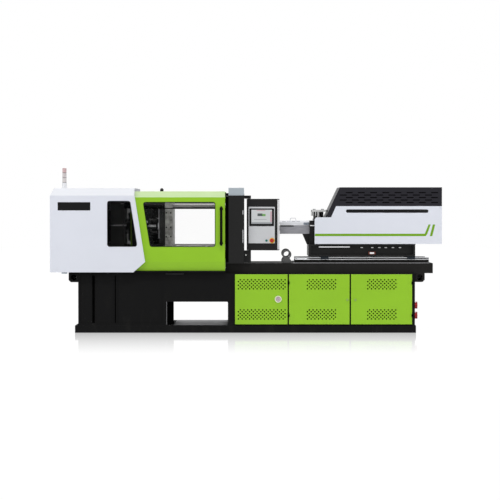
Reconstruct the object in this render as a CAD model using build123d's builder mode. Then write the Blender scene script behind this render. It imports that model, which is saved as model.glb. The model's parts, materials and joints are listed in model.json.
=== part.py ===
from build123d import *
import os
from math import acos, asin, cos, degrees, radians, sin, sqrt

os.makedirs("parts", exist_ok=True)

# Horizontal all-electric injection moulding machine, in millimetres.
# X runs along the machine from the clamp (-X) to the injection unit (+X), the operator stands at -Y,
# and Z is up from the floor. The clamp and the barrel share one axis at axis_z.

# Overall
machine_length = 5888.0
cover_half_width = 800.0
axis_z = 1590.0
clamp_end_x = -machine_length / 2
tail_end_x = machine_length / 2

# Clearances
sheet = 4.0
slide_gap = 0.3
pin_gap = 0.1

# Base, cabinet and bed
plinth_height = 114.0
plinth_toe = 48.0
base_left_x = clamp_end_x + 413
base_right_x = -176.0
base_half_width = cover_half_width - 100
plinth_half_width = base_half_width + 10
base_top_z = 892.0
recess_depth = 8.0
recess_margin = 30.0
recess_posts = ((31.0, 210.0), (247.0, 532.0), (585.0, 1268.0))
passage_left_x = -1189.0
passage_right_x = -284.0
passage_round = 15.0
passage_floor_z = plinth_height - passage_round
passage_roof_z = 465.0
drop_half_width = 220.0
deck_top_z = 926.0
deck_thickness = 16.0
way_offset = 300.0
way_width = 100.0
way_height = 18.0
cabinet_right_x = 2524.0
bay_depth = 420.0
bed_left_x = -319.0
bed_right_x = cabinet_right_x + 275
bed_top_z = 1042.0
bed_half_width = base_half_width - 80
tail_lug_gap = 10.0
lug_thickness = 40.0
lug_bore_radius = 45.0
sleeve_wall = 12.0
lug_bore_reach = 67.0
lug_bore_drop = 64.0
lug_length = 143.0
lug_depth = 133.0
lug_chamfer = 33.0
lug_bottom_z = base_top_z - lug_depth
lifting_eye_x = 604.0
lifting_eye_y = bed_half_width - 150
lifting_eye_rise = 130.0
lifting_eye_radius = 70.0
lifting_eye_bore = 45.0
lifting_eye_foot = 68.0

# Platens and tie bars
platen_half = 455.0
platen_chamfer = 40.0
tie_offset = 316.0
tie_radius = 42.5
tie_length = 2100.0
fixed_face_x = -300.0
tie_left_x = fixed_face_x - tie_length
fixed_thickness = 190.0
tie_nut_length = 65.0
tie_nut_radius = 72.0
locating_radius = 80.0
locating_depth = 30.0
nozzle_way_radius = 60.0
nozzle_cone_radius = 165.0
nozzle_cone_length = 110.0
mould_bolt_spacing = 420.0
mould_bolt_radius = 10.0
mould_bolt_depth = 50.0
moving_face_x = -1121.0
moving_plate_thickness = 113.0
moving_casting_depth = 105.0
moving_ring_half = 330.0
end_thickness = 200.0

# Double toggle linkage
link_length = 330.0
clamp_stroke = 500.0
pivot_height = 390.0
moving_pivot_reach = 330.0
end_lug_reach = 250.0
eye_radius = 58.0
pin_radius = 32.0
link_web = 78.0
drive_ear_reach = 240.0
drive_ear_drop = 60.0
drive_ear_radius = 42.0
drive_pin_radius = 24.0
crosshead_link_length = 170.0
crosshead_pivot_height = 180.0
crosshead_half_width = 78.0
crosshead_thickness = 70.0
thin_plate = 38.0
thick_plate = 58.0
layer_gap = 2.0
guide_rod_offset = 95.0
guide_rod_radius = 20.0
guide_rod_reach = 480.0
screw_radius = 30.0
screw_reach = 465.0
pulley_radius = 90.0
pulley_width = 60.0
belt_case_radius = 110.0
belt_case_depth = 104.0
motor_drop = 300.0
motor_size = 190.0
motor_length = 300.0
nut_radius = 75.0
nut_length = 80.0

# Ejector
ejector_stroke = 100.0
ejector_plate = 25.0
ejector_half_width = 100.0
ejector_half_height = 55.0
ejector_rod_radius = 20.0
ejector_guide_offset = 75.0
ejector_guide_radius = 12.0

# Clamp covers
cover_fold = 30.0
cover_bottom_z = 910.0
cover_shoulder_z = 2058.0
cover_top_z = 2169.0
cover_bevel = 60.0
hood_end_gap = 8.0
cover_head_x = -1679.0
cover_nose_x = -1522.0
cover_nose_z = 1065.0
cover_foot_x = -1697.0
window_left_x = cover_head_x - 402
window_bottom_z = 1300.0
window_top_z = 1972.0
window_edge_margin = 84.0
window_round = 30.0
window_lap = 15.0
window_pane = 5.0
beacon_x = clamp_end_x + 203
beacon_y = -(cover_half_width - 180)
beacon_foot = (42.0, 12.0)
beacon_stem = (36.0, 74.0)
beacon_tier_radius = 31.0
beacon_tier_height = 70.0
beacon_joint = 2.0
beacon_cap = (24.0, 300.0, 306.0)

# Gates and their frame
gate_face_y = cover_half_width - 35
gate_depth = 49.0
gate_left_x = -1740.0
gate_right_x = -326.0
gate_bottom_z = 932.0
gate_hem = 30.0
gate_fold_z = 1065.0
gate_shoulder_z = 2032.0
gate_top_z = 2122.0
gate_window_right_x = -476.0
gate_window_low_x = -1444.0
gate_window_high_x = -1549.0
gate_window_bottom_z = 1297.0
gate_window_top_z = 1957.0
rear_window_left_x = -1215.0
rear_window_top_z = 1905.0
handle_x = -382.0
handle_bottom_z = 1308.0
handle_top_z = 1897.0
handle_radius = 13.0
handle_standoff = 42.0
shoe_length = 60.0
shoe_inset = 200.0
guard_tube = 36.0
guard_face_y = cover_half_width - 100

# Column covers beside the fixed platen
column_left_x = -274.0
column_right_x = -41.0
column_top_z = 2060.0
column_face_y = cover_half_width - 30
closing_gap = 8.0
closing_inset = 10.0
closing_depth = 42.0
closing_drop = 38.0
terminal_box_top_z = 2175.0
terminal_box_depth = 200.0

# Control panel, turned towards the mould at rest
panel_turn = 12.0
panel_pivot_x = 33.0
panel_pivot_y = -(cover_half_width - 170)
panel_bottom_z = 1238.0
panel_height = 772.0
panel_width = 470.0
panel_pivot_inset = 25.0
panel_front = 60.0
panel_back = 120.0
panel_pin_radius = 12.0
panel_pin_length = 30.0
bracket_arm = 60.0
face_left = 31.0
face_width = 403.0
face_bottom = 105.0
face_height = 548.0
face_proud = 3.0
screen_bottom = 365.0
screen_height = 262.0
screen_width = 375.0
stop_across = 391.0
stop_up = 147.0
stop_radius = 30.0
start_across = 307.0
start_radius = 17.0
button_travel = 5.0

# Injection unit
carriage_half_width = cover_half_width - 380
rail_offset = carriage_half_width - 90
rail_width = 40.0
rail_left_x = 732.0
rail_right_x = bed_right_x - 38
rail_pad_top_z = 1087.0
rail_top_z = 1125.0
carriage_left_x = 934.0
carriage_right_x = 2550.0
carriage_bottom_z = 1142.0
carriage_top_z = 1320.0
carriage_flange = 24.0
carriage_recess = 60.0
block_length = 120.0
feed_left_x = 956.0
feed_right_x = 1160.0
feed_plate = 68.0
feed_half_width = 230.0
feed_plate_top_z = 1680.0
feed_top_z = 1725.0
throat_x = 1096.0
throat_radius = 40.0
feed_radius = 32.0
hopper_plate_left_x = 984.0
hopper_plate_right_x = 1226.0
hopper_plate_bottom_z = 1815.0
hopper_plate_thickness = 30.0
hopper_neck_radius = 66.0
hopper_bolt_spacing = 180.0
hopper_bolt_radius = 7.0
guide_bar_offset = 190.0
guide_bar_radius = 30.0
rear_plate_x = 2150.0
rear_plate_thickness = 80.0
injection_plate_x = 1500.0
injection_plate_thickness = 110.0
injection_plate_half = 250.0
injection_plate_height = 150.0
screw_motor_radius = 105.0
screw_motor_length = 280.0
nozzle_tip_x = 60.0
nozzle_radius = 30.0
barrel_head_x = 215.0
barrel_head_radius = 76.0
barrel_radius = 56.0
heater_radius = 64.0
heater_length = 120.0
plasticizing_radius = 25.0
guard_left_x = 506.0
guard_half_width = 105.0
guard_bottom_z = 1477.0
guard_lower_top_z = 1588.0
guard_upper_bottom_z = 1608.0
guard_upper_top_z = 1680.0
guard_handle_left_x = 656.0
guard_handle_right_x = 761.0
guard_handle_rise = 42.0
guard_hinge_radius = 8.0
guard_pin_radius = 3.5
guard_barrel = 20.0

# Injection covers
casing_left_x = 1024.0
casing_half_width = cover_half_width - 280
casing_fold = 30.0
casing_bottom_z = 1330.0
casing_step_z = 1732.0
casing_top_z = 1900.0
casing_round = 40.0
oblique_low_x = 1271.0
oblique_high_x = 1346.0
roof_foot_x = 1189.0
roof_head_x = 1403.0
roof_top_z = 2185.0
roof_slot_length = 105.0
roof_slot_height = 15.0
roof_slot_pitch = 184.0
roof_slot_row = 37.5
roof_slot_first_x = 1545.0
roof_slot_top_z = 2105.0
roof_slots = 8
roof_slot_rows = 5
stripe_left_x = 1496.0
stripe_right_x = 2740.0
stripe_bottom_z = 1800.0
stripe_height = 52.0

# Cabinet doors and panels
door_bottom_z = 128.0
door_top_z = 878.0
door_face_y = base_half_width + 20
first_panel_right_x = 611.0
left_door_x = first_panel_right_x + 23
left_door_right_x = 1541.0
right_door_x = left_door_right_x + 23
right_door_right_x = cabinet_right_x - 45
hole_size = 14.0
hole_pitch = 56.0
hole_row = 27.0
hole_rows = 6
panel_hole_columns = 13
door_hole_columns = 8
panel_holes_inset = 50.0
left_holes_inset = 276.0
right_holes_inset = 251.0
upper_holes_z = 728.0
lower_holes_z = 276.0
gauge_x = 471.0
gauge_z = 505.0
gauge_radius = 52.0
hinge_offset = 6.0
hinge_radius = 8.0
hinge_pin_radius = 5.0
hinge_barrel = 30.0
hinge_heights = (261.0, 750.0)
lock_inset = 33.0
lock_z = 495.0
lock_radius = 14.0
socket_y = -(base_half_width - 140)
socket_heights = (250.0, 402.0)
socket_radius = 45.0
socket_reach = 36.0
lid_thickness = 10.0
lid_tab = 12.0
lid_hinge_rise = 8.0
lid_pin_radius = 3.0
lid_ear = 6.0
lid_ear_half = 4.0


def facing(y):
    """Sketch plane seen from the operator's side, X across and Z up, at this Y."""
    return Plane.XZ.offset(-y)


def across(x):
    """Sketch plane square to the machine's length, Y across and Z up, at this X."""
    return Plane.YZ.offset(x)


def outline(*points):
    """Closed face through the points, in the current sketch."""
    Polygon(*points, align=None)


def block(x0, x1, y0, y1, z0, z1, mode=Mode.ADD):
    """Rectangular block between two corners, in the current part."""
    with Locations(((x0 + x1) / 2, (y0 + y1) / 2, (z0 + z1) / 2)):
        Box(x1 - x0, y1 - y0, z1 - z0, mode=mode)


def rod(x0, x1, y, z, radius, mode=Mode.ADD):
    """Round bar along X, in the current part."""
    with BuildSketch(across(x0)) as section:
        with Locations((y, z)):
            Circle(radius)
    extrude(section.sketch, amount=x1 - x0, mode=mode)


def lifting_lugs(root_x, way, half_width, top_z):
    """Two lugs that stand out to one end, joined by a sleeve that a lifting bar goes through."""
    tip_x = root_x + way * lug_length
    for side in (-1, 1):
        with BuildSketch(facing(side * (half_width - lug_thickness / 2))) as lug:
            outline(
                (root_x, top_z), (root_x, lug_bottom_z), (tip_x - way * lug_chamfer, lug_bottom_z),
                (tip_x, lug_bottom_z + lug_chamfer), (tip_x, top_z),
            )
        extrude(lug.sketch, amount=lug_thickness / 2, both=True)
    for radius, mode in ((lug_bore_radius + sleeve_wall, Mode.ADD), (lug_bore_radius, Mode.SUBTRACT)):
        with BuildSketch(facing(half_width)) as section:
            with Locations((root_x + way * lug_bore_reach, base_top_z - lug_bore_drop)):
                Circle(radius)
        extrude(section.sketch, amount=2 * half_width, mode=mode)


def folded_panel(points, face_y, fold):
    """Sheet panel with this outline on the operator's side, its edges folded inwards."""
    with BuildPart() as panel:
        with BuildSketch(facing(-face_y)):
            outline(*points)
        extrude(amount=-fold)
        offset(amount=-sheet, openings=panel.faces().sort_by(Axis.Y)[-1])
    return panel.part


# Plinth: a closed foot under the base and the cabinet
with BuildPart() as plinth:
    block(
        base_left_x - plinth_toe, cabinet_right_x + plinth_toe / 3,
        -plinth_half_width, plinth_half_width, 0, plinth_height,
    )
    chamfer(plinth.faces().sort_by(Axis.Z)[-1].edges(), 8)

# Clamp base: side profile with the deck on top, a discharge passage across and a drop shaft into it
deck_bottom_z = deck_top_z - deck_thickness
deck_half_width = cover_half_width - cover_fold
passage_width = passage_right_x - passage_left_x
drop_left_x = passage_left_x + 140
drop_right_x = bed_left_x - 30
with BuildPart() as clamp_base:
    with BuildSketch(Plane.XZ):
        outline(
            (base_left_x, plinth_height), (base_right_x, plinth_height), (base_right_x, base_top_z),
            (bed_left_x, base_top_z), (bed_left_x, deck_bottom_z), (base_left_x, deck_bottom_z),
        )
    extrude(amount=base_half_width, both=True)
    with BuildSketch(Plane.XZ):
        outline(
            (clamp_end_x + sheet, deck_bottom_z), (bed_left_x, deck_bottom_z),
            (bed_left_x, deck_top_z), (clamp_end_x + sheet, deck_top_z),
        )
    extrude(amount=deck_half_width, both=True)
    with BuildSketch(Plane.XZ):
        with Locations(((passage_left_x + passage_right_x) / 2, (passage_floor_z + passage_roof_z) / 2)):
            RectangleRounded(passage_width, passage_roof_z - passage_floor_z, passage_round)
    extrude(amount=base_half_width, both=True, mode=Mode.SUBTRACT)
    block(
        drop_left_x, drop_right_x, -drop_half_width, drop_half_width,
        passage_roof_z - 5, deck_top_z, mode=Mode.SUBTRACT,
    )
    # Sheet panels set back between the posts of the welded frame
    for side in (-1, 1):
        with BuildSketch(facing(side * base_half_width)):
            for left, right in recess_posts:
                with Locations((base_left_x + (left + right) / 2, (plinth_height + base_top_z) / 2)):
                    Rectangle(right - left, base_top_z - plinth_height - 2 * recess_margin)
        extrude(amount=side * recess_depth, mode=Mode.SUBTRACT)
    # Hardened ways that carry the moving and the end platen
    for side in (-1, 1):
        y = side * way_offset
        block(
            tie_left_x, drop_right_x, y - way_width / 2, y + way_width / 2,
            deck_top_z, deck_top_z + way_height,
        )
    lifting_lugs(base_left_x, -1, base_half_width, deck_bottom_z)

# Cabinet frame: welded posts and rails around three bays that open to the operator
bays = (
    (base_right_x, first_panel_right_x),
    (left_door_x, left_door_right_x),
    (right_door_x, right_door_right_x),
)
bay_rim = 34.0
with BuildPart() as cabinet_frame:
    block(
        base_right_x, cabinet_right_x, -base_half_width, base_half_width, plinth_height, base_top_z,
    )
    for left, right in bays:
        block(
            left + bay_rim, right - bay_rim, -base_half_width, bay_depth - base_half_width,
            door_bottom_z + bay_rim, door_top_z - bay_rim, mode=Mode.SUBTRACT,
        )
    # Leaves and fixed pins of the door hinges
    hinge_y = -(door_face_y + hinge_offset)
    hinge_spots = ((left_door_x - hinge_offset, 1), (right_door_right_x + hinge_offset, -1))
    for x, side in hinge_spots:
        for z in hinge_heights:
            for end in (-1, 1):
                inner = z + end * (hinge_barrel / 2 + slide_gap)
                outer = inner + end * hinge_barrel / 2
                with BuildSketch(Plane.XY.offset(inner)):
                    with Locations((x, hinge_y)):
                        Circle(hinge_radius)
                    with Locations((x - side * hinge_radius / 2, (hinge_y - base_half_width) / 2)):
                        Rectangle(hinge_radius, -base_half_width - hinge_y)
                extrude(amount=outer - inner)
            with BuildSketch(Plane.XY.offset(z - hinge_barrel)):
                with Locations((x, hinge_y)):
                    Circle(hinge_pin_radius)
            extrude(amount=2 * hinge_barrel)

# Bed of the injection unit with its rail pads and the lifting lugs at the tail
with BuildPart() as bed_beam:
    with BuildSketch(Plane.XZ):
        outline(
            (bed_left_x, base_top_z), (bed_right_x, base_top_z),
            (bed_right_x, bed_top_z), (bed_left_x, bed_top_z),
        )
    extrude(amount=bed_half_width, both=True)
    for side in (-1, 1):
        y = side * rail_offset
        block(rail_left_x, rail_right_x, y - 40, y + 40, bed_top_z, rail_pad_top_z)
    lifting_lugs(cabinet_right_x + tail_lug_gap, 1, bed_half_width, base_top_z)

# Lifting eyes on the bed, one at each side
with BuildPart() as lifting_eyes:
    for side in (-1, 1):
        with BuildSketch(facing(side * lifting_eye_y)):
            with Locations((lifting_eye_x, bed_top_z + lifting_eye_rise)):
                Circle(lifting_eye_radius)
            foot, waist = lifting_eye_foot, lifting_eye_foot / 2
            outline(
                (lifting_eye_x - foot, bed_top_z), (lifting_eye_x + foot, bed_top_z),
                (lifting_eye_x + foot, bed_top_z + waist), (lifting_eye_x + waist, bed_top_z + 90),
                (lifting_eye_x - waist, bed_top_z + 90), (lifting_eye_x - foot, bed_top_z + waist),
            )
            with Locations((lifting_eye_x, bed_top_z + lifting_eye_rise)):
                Circle(lifting_eye_bore, mode=Mode.SUBTRACT)
        extrude(amount=lug_thickness / 2, both=True)

# Linear rails of the carriage
with BuildPart() as carriage_rails:
    for side in (-1, 1):
        y = side * rail_offset
        with BuildSketch(across(rail_left_x)):
            outline(
                (y - 20, rail_pad_top_z), (y + 20, rail_pad_top_z), (y + 20, rail_pad_top_z + 10),
                (y + 14, rail_pad_top_z + 18), (y + 20, rail_top_z - 8), (y + 20, rail_top_z),
                (y - 20, rail_top_z), (y - 20, rail_top_z - 8), (y - 14, rail_pad_top_z + 18),
                (y - 20, rail_pad_top_z + 10),
            )
        extrude(amount=rail_right_x - rail_left_x)


def platen_plate(face_x, thickness):
    """Square plate with cut corners, its mould side at face_x and its back towards -X or +X."""
    with BuildSketch(across(face_x)) as section:
        with Locations((0, axis_z)):
            Rectangle(2 * platen_half, 2 * platen_half)
        chamfer(section.vertices(), platen_chamfer)
    extrude(section.sketch, amount=thickness)


def tie_bores(face_x, thickness, gap):
    """The four tie bar bores through a platen."""
    with BuildSketch(across(face_x)) as section:
        with Locations((0, axis_z)):
            with GridLocations(2 * tie_offset, 2 * tie_offset, 2, 2):
                Circle(tie_radius + gap)
    extrude(section.sketch, amount=thickness, mode=Mode.SUBTRACT)


def mould_bolts(face_x, depth):
    """Four bolt holes for a mould half, drilled from the mould side."""
    with BuildSketch(across(face_x)) as section:
        with Locations((0, axis_z)):
            with GridLocations(mould_bolt_spacing, mould_bolt_spacing, 2, 2):
                Circle(mould_bolt_radius)
    extrude(section.sketch, amount=depth, mode=Mode.SUBTRACT)


# Fixed platen: locating bore at the mould side, a cone for the nozzle at the back, and two feet
fixed_back_x = fixed_face_x + fixed_thickness
with BuildPart() as fixed_platen:
    platen_plate(fixed_face_x, fixed_thickness)
    tie_bores(fixed_face_x, fixed_thickness, 0)
    with BuildSketch(Plane.XZ):
        outline(
            (fixed_face_x, axis_z), (fixed_face_x, axis_z + locating_radius),
            (fixed_face_x + locating_depth, axis_z + locating_radius),
            (fixed_face_x + locating_depth, axis_z + nozzle_way_radius),
            (fixed_back_x - nozzle_cone_length, axis_z + nozzle_way_radius),
            (fixed_back_x, axis_z + nozzle_cone_radius), (fixed_back_x, axis_z),
        )
    revolve(axis=Axis((0, 0, axis_z), (1, 0, 0)), mode=Mode.SUBTRACT)
    mould_bolts(fixed_face_x, mould_bolt_depth)
    for side in (-1, 1):
        block(
            fixed_face_x + 10, fixed_back_x - 10, side * 345 - 95, side * 345 + 95,
            bed_top_z, axis_z - platen_half,
        )

# Tie bars, with the nuts that hold them to the fixed platen
with BuildPart() as tie_bars:
    for y in (-tie_offset, tie_offset):
        for z in (axis_z - tie_offset, axis_z + tie_offset):
            rod(tie_left_x, fixed_back_x + tie_nut_length, y, z, tie_radius)
            rod(fixed_back_x, fixed_back_x + tie_nut_length, y, z, tie_nut_radius)
            with BuildSketch(across(tie_left_x)):
                with Locations((y, z)):
                    Circle(tie_radius - 6)
            extrude(amount=-12)

# Layers of the linkage, as distances from the machine's middle plane
inner_layer = crosshead_half_width + layer_gap
middle_layer = inner_layer + thin_plate + layer_gap
outer_layer = middle_layer + thick_plate + layer_gap
lug_layer = outer_layer + thin_plate + layer_gap

# Pivots of the folded linkage: X along, and height above or below the axis
span_open = 2 * link_length - clamp_stroke
fold_angle = degrees(acos(span_open / 2 / link_length))
knee_drop = link_length * sin(radians(fold_angle))
moving_pivot_x = moving_face_x - moving_pivot_reach
end_pivot_x = moving_pivot_x - span_open
knee_x = (moving_pivot_x + end_pivot_x) / 2
knee_height = pivot_height - knee_drop
end_face_x = end_pivot_x - end_lug_reach
end_back_x = end_face_x - end_thickness


def drive_ear(fold):
    """Place of the crosshead link's pivot on the rear link, for a fold angle in degrees."""
    turn = radians(fold)
    along = drive_ear_reach * cos(turn) - drive_ear_drop * sin(turn)
    down = drive_ear_reach * sin(turn) + drive_ear_drop * cos(turn)
    return end_pivot_x + along, pivot_height - down


def crosshead_place(fold):
    """X of the crosshead pivots, for a fold angle in degrees."""
    ear_x, ear_height = drive_ear(fold)
    rise = ear_height - crosshead_pivot_height
    return ear_x - sqrt(crosshead_link_length**2 - rise**2)


def crosshead_link_slope(fold):
    """Slope of the upper crosshead link in degrees, for a fold angle in degrees."""
    return degrees(asin((drive_ear(fold)[1] - crosshead_pivot_height) / crosshead_link_length))


crosshead_x = crosshead_place(fold_angle)
crosshead_travel = crosshead_place(0) - crosshead_x
print("fold angle", round(fold_angle, 4), "knee", round(knee_x, 3), round(knee_height, 3))
print("end pivot x", end_pivot_x, "moving pivot x", moving_pivot_x, "end face x", end_face_x)
print("crosshead x", round(crosshead_x, 4), "travel", round(crosshead_travel, 4))
print("crosshead link turn", round(crosshead_link_slope(0) - crosshead_link_slope(fold_angle), 4))


def lugs(pivot_x, root_x, layer, thickness):
    """Upper and lower lugs in one layer, from a casting's face to the round eyes at the pivots."""
    for end in (-1, 1):
        z = axis_z + end * pivot_height
        for side in (-1, 1):
            with BuildSketch(facing(side * (layer + thickness / 2))) as section:
                with Locations((pivot_x, z)):
                    Circle(eye_radius)
                with Locations(((pivot_x + root_x) / 2, z)):
                    Rectangle(abs(root_x - pivot_x), 2 * eye_radius)
            extrude(section.sketch, amount=thickness / 2, both=True)


def lug_pins(pivot_x, layer_start, layer_end):
    """Pins across a pair of lugs, fixed in them, with a head proud of the outer lug."""
    for end in (-1, 1):
        for side in (-1, 1):
            with BuildSketch(facing(side * layer_start)) as section:
                with Locations((pivot_x, axis_z + end * pivot_height)):
                    Circle(pin_radius)
            extrude(section.sketch, amount=-side * (layer_end + 4 - layer_start))


# End platen: plate, feet, toggle lugs with their pins, and the two guide rods of the crosshead
with BuildPart() as end_platen:
    platen_plate(end_back_x, end_thickness)
    tie_bores(end_back_x, end_thickness, slide_gap)
    rod(end_back_x, end_face_x, 0, axis_z, screw_radius + pin_gap, mode=Mode.SUBTRACT)
    for side in (-1, 1):
        y = side * way_offset
        block(
            end_back_x, end_face_x, y - way_width / 2, y + way_width / 2,
            deck_top_z + way_height + slide_gap, axis_z - platen_half,
        )
        rod(end_face_x, end_face_x + guide_rod_reach, 0, axis_z + side * guide_rod_offset, guide_rod_radius)
    lugs(end_pivot_x, end_face_x, inner_layer, thin_plate)
    lugs(end_pivot_x, end_face_x, outer_layer, thin_plate)
    lug_pins(end_pivot_x, inner_layer, outer_layer + thin_plate)

# Nuts behind the end platen, on the threaded ends of the tie bars
with BuildPart() as end_platen_nuts:
    for y in (-tie_offset, tie_offset):
        for z in (axis_z - tie_offset, axis_z + tie_offset):
            rod(end_back_x - nut_length, end_back_x, y, z, nut_radius)
            rod(end_back_x - nut_length, end_back_x, y, z, tie_radius + slide_gap, mode=Mode.SUBTRACT)

# Closing motor under the clamp axis, with the case of its belt on the end platen's back
with BuildPart() as closing_motor:
    with BuildSketch(across(end_back_x)):
        with Locations((0, axis_z - motor_drop / 2)):
            SlotCenterToCenter(motor_drop, 2 * belt_case_radius, rotation=90)
    extrude(amount=-belt_case_depth)
    offset(amount=-6, openings=closing_motor.faces().sort_by(Axis.X)[-1])
    block(
        end_back_x - belt_case_depth - motor_length, end_back_x - belt_case_depth,
        -motor_size / 2, motor_size / 2,
        axis_z - motor_drop - motor_size / 2, axis_z - motor_drop + motor_size / 2,
    )

# Closing screw with its belt pulley
pulley_x = end_back_x - belt_case_depth / 2
with BuildPart() as closing_screw:
    rod(pulley_x - pulley_width / 2, end_face_x + screw_reach, 0, axis_z, screw_radius)
    rod(pulley_x - pulley_width / 2, pulley_x + pulley_width / 2, 0, axis_z, pulley_radius)

# Crosshead: cast cross on the guide rods, with the pins of its links
with BuildPart() as crosshead:
    with BuildSketch(Plane.XZ):
        with Locations((crosshead_x, axis_z)):
            Rectangle(crosshead_thickness, 2 * crosshead_pivot_height)
            Circle(1.1 * crosshead_thickness)
        for end in (-1, 1):
            with Locations((crosshead_x, axis_z + end * crosshead_pivot_height)):
                Circle(drive_ear_radius)
    extrude(amount=crosshead_half_width, both=True)
    with BuildSketch(Plane.XZ):
        for end in (-1, 1):
            with Locations((crosshead_x, axis_z + end * crosshead_pivot_height)):
                Circle(drive_pin_radius)
    extrude(amount=inner_layer + thin_plate, both=True)
    reach = 1.2 * crosshead_thickness
    rod(crosshead_x - reach, crosshead_x + reach, 0, axis_z, screw_radius + slide_gap, mode=Mode.SUBTRACT)
    for end in (-1, 1):
        rod(
            crosshead_x - reach, crosshead_x + reach, 0, axis_z + end * guide_rod_offset,
            guide_rod_radius + slide_gap, mode=Mode.SUBTRACT,
        )


def toggle_links(pivot, free, end, layer, thickness, radius, bore, ear=None):
    """Two like plates of one link, one each side: a bored eye at its pivot, a closed eye at its free end.

    pivot, free and ear are (X, height above the axis); end is 1 for the upper half, -1 for the lower.
    """
    (x0, h0), (x1, h1) = pivot, free
    length = sqrt((x1 - x0) ** 2 + (h1 - h0) ** 2)
    tilt = degrees(asin((h1 - h0) / length))
    turn = tilt if x1 >= x0 else 180 - tilt
    with BuildPart() as link:
        for side in (-1, 1):
            with BuildSketch(facing(side * (layer + thickness / 2))):
                with Locations((x0, axis_z + end * h0), (x1, axis_z + end * h1)):
                    Circle(radius)
                with Locations(((x0 + x1) / 2, axis_z + end * (h0 + h1) / 2)):
                    Rectangle(length, link_web * radius / eye_radius, rotation=end * turn)
                if ear:
                    with Locations((ear[0], axis_z + end * ear[1])):
                        Circle(drive_ear_radius)
                with Locations((x0, axis_z + end * h0)):
                    Circle(bore, mode=Mode.SUBTRACT)
            extrude(amount=thickness / 2, both=True)
    return link.part


end_pivot = (end_pivot_x, pivot_height)
moving_pivot = (moving_pivot_x, pivot_height)
knee = (knee_x, knee_height)
ear = drive_ear(fold_angle)
crosshead_pivot = (crosshead_x, crosshead_pivot_height)
links = {}
for name, end in (("upper", 1), ("lower", -1)):
    links[f"{name}_rear_links"] = toggle_links(
        end_pivot, knee, end, middle_layer, thick_plate, eye_radius, pin_radius + pin_gap, ear=ear
    )
    links[f"{name}_front_links"] = toggle_links(
        moving_pivot, knee, end, outer_layer, thin_plate, eye_radius, pin_radius + pin_gap
    )
    links[f"{name}_crosshead_links"] = toggle_links(
        crosshead_pivot, ear, end, inner_layer, thin_plate, drive_ear_radius, drive_pin_radius + pin_gap
    )

# Moving platen: mould plate, box ring behind it, toggle lugs, feet, and guides for the ejector
moving_back_x = moving_face_x - moving_plate_thickness
casting_back_x = moving_back_x - moving_casting_depth
ring_inner = middle_layer - 10
ring_outer = lug_layer + thin_plate
with BuildPart() as moving_platen:
    platen_plate(moving_back_x, moving_plate_thickness)
    with BuildSketch(across(casting_back_x)):
        with Locations((0, axis_z)):
            Rectangle(2 * ring_outer, 2 * (pivot_height + eye_radius))
            Rectangle(2 * ring_inner, 2 * moving_ring_half, mode=Mode.SUBTRACT)
    extrude(amount=moving_casting_depth)
    lugs(moving_pivot_x, casting_back_x, middle_layer, thick_plate)
    lugs(moving_pivot_x, casting_back_x, lug_layer, thin_plate)
    lug_pins(moving_pivot_x, middle_layer, lug_layer + thin_plate)
    tie_bores(moving_back_x, moving_plate_thickness, slide_gap)
    mould_bolts(moving_face_x, -mould_bolt_depth)
    rod(
        moving_back_x, moving_face_x, 0, axis_z, ejector_rod_radius + slide_gap, mode=Mode.SUBTRACT,
    )
    for side in (-1, 1):
        y = side * way_offset
        block(
            casting_back_x, moving_face_x, y - way_width / 2, y + way_width / 2,
            deck_top_z + way_height + slide_gap, axis_z - platen_half,
        )
        rod(
            moving_back_x - ejector_stroke - 2 * ejector_plate, moving_back_x,
            side * ejector_guide_offset, axis_z, ejector_guide_radius,
        )

# Ejector: plate on its guides and the rod through the platen, drawn back at rest
ejector_front_x = moving_back_x - ejector_stroke - 1
with BuildPart() as ejector:
    with BuildSketch(across(ejector_front_x - ejector_plate)):
        with Locations((0, axis_z)):
            RectangleRounded(2 * ejector_half_width, 2 * ejector_half_height, 20)
            with GridLocations(2 * ejector_guide_offset, 0, 2, 1):
                Circle(ejector_guide_radius + slide_gap, mode=Mode.SUBTRACT)
    extrude(amount=ejector_plate)
    rod(ejector_front_x, moving_face_x - 2, 0, axis_z, ejector_rod_radius)

# Clamp side covers: folded sheet with a slanted front edge and a window beside it
slant = (cover_nose_x - cover_head_x) / (cover_nose_z - cover_shoulder_z)


def cover_edge_x(z):
    """X of the cover's slanted edge at a height."""
    return cover_head_x + slant * (z - cover_shoulder_z)


cover_points = (
    (clamp_end_x, cover_bottom_z), (cover_foot_x, cover_bottom_z), (cover_nose_x, cover_nose_z),
    (cover_head_x, cover_shoulder_z), (clamp_end_x, cover_shoulder_z),
)


def clamp_window(y, lap):
    """Outline of the cover's window at this Y, widened by a lap."""
    low, high = window_bottom_z - lap, window_top_z + lap
    shift = lap - window_edge_margin
    with BuildSketch(facing(y)) as opening:
        outline(
            (window_left_x - lap, low), (cover_edge_x(low) + shift, low),
            (cover_edge_x(high) + shift, high), (window_left_x - lap, high),
        )
        fillet(opening.vertices(), window_round)
    return opening.sketch


with BuildPart() as front_clamp_cover:
    add(folded_panel(cover_points, cover_half_width, cover_fold))
    extrude(clamp_window(-cover_half_width, 0), amount=-sheet, mode=Mode.SUBTRACT)
with BuildPart() as rear_clamp_cover:
    mirror(front_clamp_cover.part, about=Plane.XZ)
with BuildPart() as clamp_windows:
    extrude(clamp_window(sheet - cover_half_width, window_lap), amount=-window_pane)
    mirror(about=Plane.XZ)

# End cover between the side covers
with BuildPart() as clamp_end_cover:
    with BuildSketch(across(clamp_end_x)):
        with Locations((0, (cover_bottom_z + cover_shoulder_z) / 2)):
            Rectangle(2 * (cover_half_width - cover_fold), cover_shoulder_z - cover_bottom_z)
    extrude(amount=cover_fold)
    offset(amount=-sheet, openings=clamp_end_cover.faces().sort_by(Axis.X)[-1])
    block(
        clamp_end_x + sheet, clamp_end_x + cover_fold, -deck_half_width, deck_half_width,
        cover_bottom_z, deck_top_z, mode=Mode.SUBTRACT,
    )

guard_rail_top_z = column_top_z + guard_tube
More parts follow.
